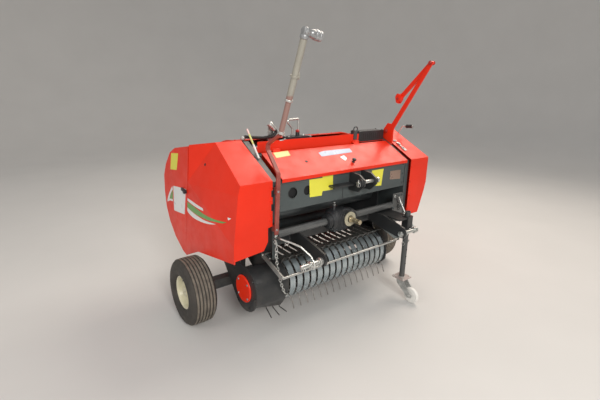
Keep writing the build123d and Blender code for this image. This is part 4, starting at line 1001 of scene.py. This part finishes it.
# ------------------------------------------------------------------ arm joints
S = Shape()
for x, y, z, r in ((704, 250, 1292, 12), (742, 250, 1292, 12), (706, -102, 1824, 13), (746, -102, 1824, 13)):
    S.bolt(D(x, y, z), (-1 if x < 720 else 1, 0, 0), 17, 9)
S.bolt(D(703, 158, 1560), (-1, 0, 0), 16, 8)
S.bolt(D(741, 158, 1560), (1, 0, 0), 16, 8)
S.done("arm_bolts", "frame", "dark_red", "red_paint")
S = Shape()
for x in (700, 736):
    loop = [D(x, y, z) for y, z in ((136, 1592), (168, 1600), (186, 1574), (176, 1536), (150, 1526), (134, 1552))]
    S.slab(round_corners(loop, 8), Vector((0.006, 0, 0)))
S.slab(round_corners([D(700, 150, 1526), D(742, 150, 1526), D(742, 176, 1536), D(700, 176, 1536)], 4), Vector((0, 0.002, -0.006)))
S.done("arm_clevis", "frame", "red_paint", "red_paint")

# ------------------------------------------------------------------ right cover fittings
S = Shape()
for y0, y1, w in ((212, 230, 34), (150, 200, 22), (96, 142, 30)):
    S.slab(round_corners(on_roof([(784 - w / 2, y0), (784 + w / 2, y0), (786 + w / 2, y1), (786 - w / 2, y1)], 0.4), 5), ROOF_N * 0.007)
S.lathe(D(785, 176, roof(176)) + ROOF_N * 0.007, ROOF_N, [(0, 0), (0, 13), (2, 14), (7, 14), (9, 11), (9, 0)], 24)
S.done("slope_latch", "right_side", "dull_silver", "plated_steel")
S = Shape()
for y0, y1 in ((216, 226), (120, 134)):
    S.slab(on_roof([(776, y0), (794, y0), (795, y1), (777, y1)], 7.5), ROOF_N * 0.0008)
S.done("slope_latch_slots", "right_side", "black_plastic", "hose_rubber")
S = Shape()
g0, g1 = D(986, 262, 1316.6), D(986, 190, 1322)
d = (g1 - g0).normalized()
S.lathe(g0, d, [(0, 5.5), (0, 14), (3, 16.4), (9, 17), (25, 15.6), (42, 16), (55, 17), (63, 16.4), (68, 12), (70, 0)], 28)
S.done("handle_grip", "right_side", "black_plastic", "hose_rubber")
S = Shape()
for y, z in ((40, 640), (40, 1060), (560, 560), (560, 1215), (300, 1200)):
    pass
for z in (660, 780, 900, 1020):
    S.bolt(D(752, 0, z), (0, -1, 0), 11, 5)
S.done("right_cover_bolts", "right_side", "red_paint", "red_paint")

# left cover front edge: hinge blocks and bolts
S = Shape()
for z in (1006, 918):
    S.block(D(-619, 6, z), (22, 16, 46), None, 3)
S.done("cover_buffers", "frame", "black_plastic", "hose_rubber")
S = Shape()
for z in (1046, 962, 874, 836):
    S.bolt(D(-632, 0, z), (0, -1, 0), 11, 5)
S.done("left_cover_bolts", "frame", "red_paint", "red_paint")

# ------------------------------------------------------------------ post brackets, side strips, top things
S = Shape()
for x, z in ((-603, 776), (-595, 1020)):
    S.bolt(D(x, -26, z), (0, -1, 0), 8, 3)
S.tube(smooth_path([D(-592, -30, 1330), D(-578, -36, 1332), D(-564, -30, 1330)], 4), 3, 8)
S.done("post_bolts", "frame", "dull_silver", "plated_steel")
S = Shape()
S.lathe(D(-168, 346, 1316), (0, 0, 1), [(0, 0), (0, 8), (3, 12), (8, 15), (14, 15.5), (19, 12), (22, 0)], 24)
S.done("valve_knob", "frame", "dark_red", "red_paint")
S = Shape()
for x in (-196, -140):
    S.lathe(D(x, 372, 1289), (0, 0, 1), [(0, 0), (0, 13), (2, 14), (14, 14), (16, 12), (16, 7.2)], 6)
for y in (330, 384):
    for x in (-255, -85):
        S.bolt(D(x, y, 1289), (0, 0, 1), 9, 5)
for z in (1240, 1268):
    S.lathe(D(-265, 357, z), (-1, 0, 0), [(0, 0), (0, 12), (2, 13), (9, 13), (11, 10), (18, 8), (18, 0)], 6)
S.lathe(D(-39, 357, 1268), (1, 0, 0), [(-3, 0), (-3, 20), (0, 21), (3, 18), (3.5, 0)], 6)
S.done("valve_fittings", "frame", "plated_steel", "plated_steel")
S = Shape()
cdir = (D(-382, 359, 1366) - D(-362, 360, 1347)).normalized()
c = D(-362, 360, 1347)
S.lathe(c, cdir, [(-1, 11), (-1, 16), (1, 18), (12, 18), (13, 15), (20, 15), (21, 18.5), (34, 18.5), (36, 16.5), (40, 16.5), (41, 20), (58, 20), (61, 18), (66.5, 17), (67, 0)], 24)
S.done("coupler_body", "frame", "plated_steel", "plated_steel", 40)
S = Shape()
h0, h1 = D(-592, 399, 1280), D(-588, 398, 1296)
S.lathe(h0 + Vector((0, 0, 0.001)), (0.1, 0, 1), [(0, 11.5), (0, 15), (2, 16), (16, 16), (18, 13.5), (28, 12.5), (28, 11.5)], 20, loop=True)
S.done("hose_ferrule", "frame", "plated_steel", "plated_steel")
S = Shape()
for x in (400, 680):
    for y in (280, 348):
        S.bolt(D(x, y, 1300 - 0.4), (0, 0, 1), 9, 4)
for k in range(9):
    x = 440 + k * 24
    S.slab([D(x, 265.6, 1236), D(x + 12, 265.6, 1236), D(x + 12, 265.6, 1282), D(x, 265.6, 1282)], Vector((0, -0.0006, 0)))
S.done("box_screws", "frame", "black_plastic", "hose_rubber")

# ------------------------------------------------------------------ parking leg
# near-black dished discs at the leg's holes: painted shade inside the holes
S = Shape()
for z in (300, 360, 420, 480, 540):
    S.lathe(D(520, -191.2, z), (0, -1, 0), [(0, 0), (0, 6.5), (0.6, 6.5), (0.9, 5), (0.3, 4.6), (0.3, 0)], 18)
S.done("leg_hole_shade_discs", "leg", "painted_shade_black", "galvanised")
S = Shape()
S.tube([D(490, -170, 480), D(560, -170, 480)], 5, 12)
S.lathe(D(556, -170, 480), (1, 0, 0), [(0, 0), (0, 9), (3, 10), (8, 8), (9, 0)], 20)
S.tube([D(494, -170 + 13 * math.sin(2 * math.pi * k / 18), 468 + 13 * math.cos(2 * math.pi * k / 18)) for k in range(18)], 1.6, 8, closed=True)
for dx in (-42, 42):
    for dy in (-42, 42):
        S.bolt(D(520 + dx, -170 + dy, 184), (0, 0, 1), 10, 5)
S.done("leg_pin", "leg", "plated_steel", "plated_steel")
S = Shape()
S.weld([D(520 + 23 * math.cos(a), -170 + 23 * math.sin(a), 185.5) for a in (2 * math.pi * k / 16 for k in range(17))], 2.6, 5)
S.done("leg_weld", "leg", "galvanised", "galvanised")
S = Shape()
cw = D(520, -274, 62.5)
S.lathe(cw, (1, 0, 0), [(-15.5, 10), (-15.5, 44), (-13, 46), (-12, 50), (-15, 52), (-15, 56), (-11, 61), (-5, 62.4), (5, 62.4), (11, 61), (15, 56), (15, 52), (12, 50),
                        (13, 46), (15.5, 44), (15.5, 10)], 56, loop=True)
S.done("caster_tyre", "caster_roll", "caster_white" if "caster_white" in MAT else "white_paint", "cream_plastic", 40, ("caster_wheel",))
S = Shape()
for s in (-1, 1):
    S.bolt(D(520 + s * 28, -274, 62.5), (s, 0, 0), 15, 7)
S.lathe(D(520, -170, 175), (0, 0, -1), [(0, 20), (0, 37), (2, 38), (5, 38), (7, 36), (9, 33), (14, 32), (15, 30), (15, 20)], 40, loop=True)
S.done("caster_bolts", "caster", "plated_steel", "plated_steel")

# ------------------------------------------------------------------ roller bearings, rear door fittings
def ring_pt(a, r=360.0):
    t = math.radians(a)
    return 620 + r * math.cos(t), 800 + r * math.sin(t)


def bearings(name, body, angles, plate):
    S = Shape()
    for a in angles:
        y, z = ring_pt(a)
        for s in (-1, 1):
            S.lathe(D(s * plate, y, z), (s, 0, 0), [(0, 0), (0, 38), (2, 40), (6, 40), (8, 36), (10, 26), (15, 24), (17, 18), (17, 0)], 28)
            for k in range(3):
                t = math.radians(90 + 120 * k)
                S.bolt(D(s * (plate + 6), y + 32 * math.cos(t), z + 32 * math.sin(t)), (s, 0, 0), 8, 4, washer=False)
    S.done(name, body, "dark_chain", "black_casting")


bearings("front_roller_bearings", "frame", (99, 120, 141, 162, 183, 267), 542.2)
bearings("rear_roller_bearings", "tailgate", (78, 57, 36, 15, -6, -27, -48, -69), 559.7)
S = Shape()
for a in (90, 75, 60, 45, 30, 15, 6):
    y, z = ring_pt(a, 449.2)
    t = math.radians(a)
    for x in (-530, -265, 0, 265, 530):
        S.bolt(D(x, y, z), (0, math.cos(t), math.sin(t)), 10, 4)
S.done("tailgate_bolts", "tailgate", "red_paint", "red_paint")
S = Shape()
for z in (835, 730):
    for x, y in ((-846, 1072),):
        S.lathe(D(x, y, z + 12), (0, 0, 1), [(0, 0), (0, 9), (2, 10), (5, 10), (7, 8), (7, 0)], 20)
S.done("left_hinge_caps", "left_door", "plated_steel", "plated_steel")
S = Shape()
for z in (843, 738):
    S.lathe(D(889, 1072, z + 5), (0, 0, 1), [(0, 0), (0, 9), (2, 10), (5, 10), (7, 8), (7, 0)], 20)
S.done("right_hinge_caps", "right_side", "plated_steel", "plated_steel")

# ------------------------------------------------------------------ close
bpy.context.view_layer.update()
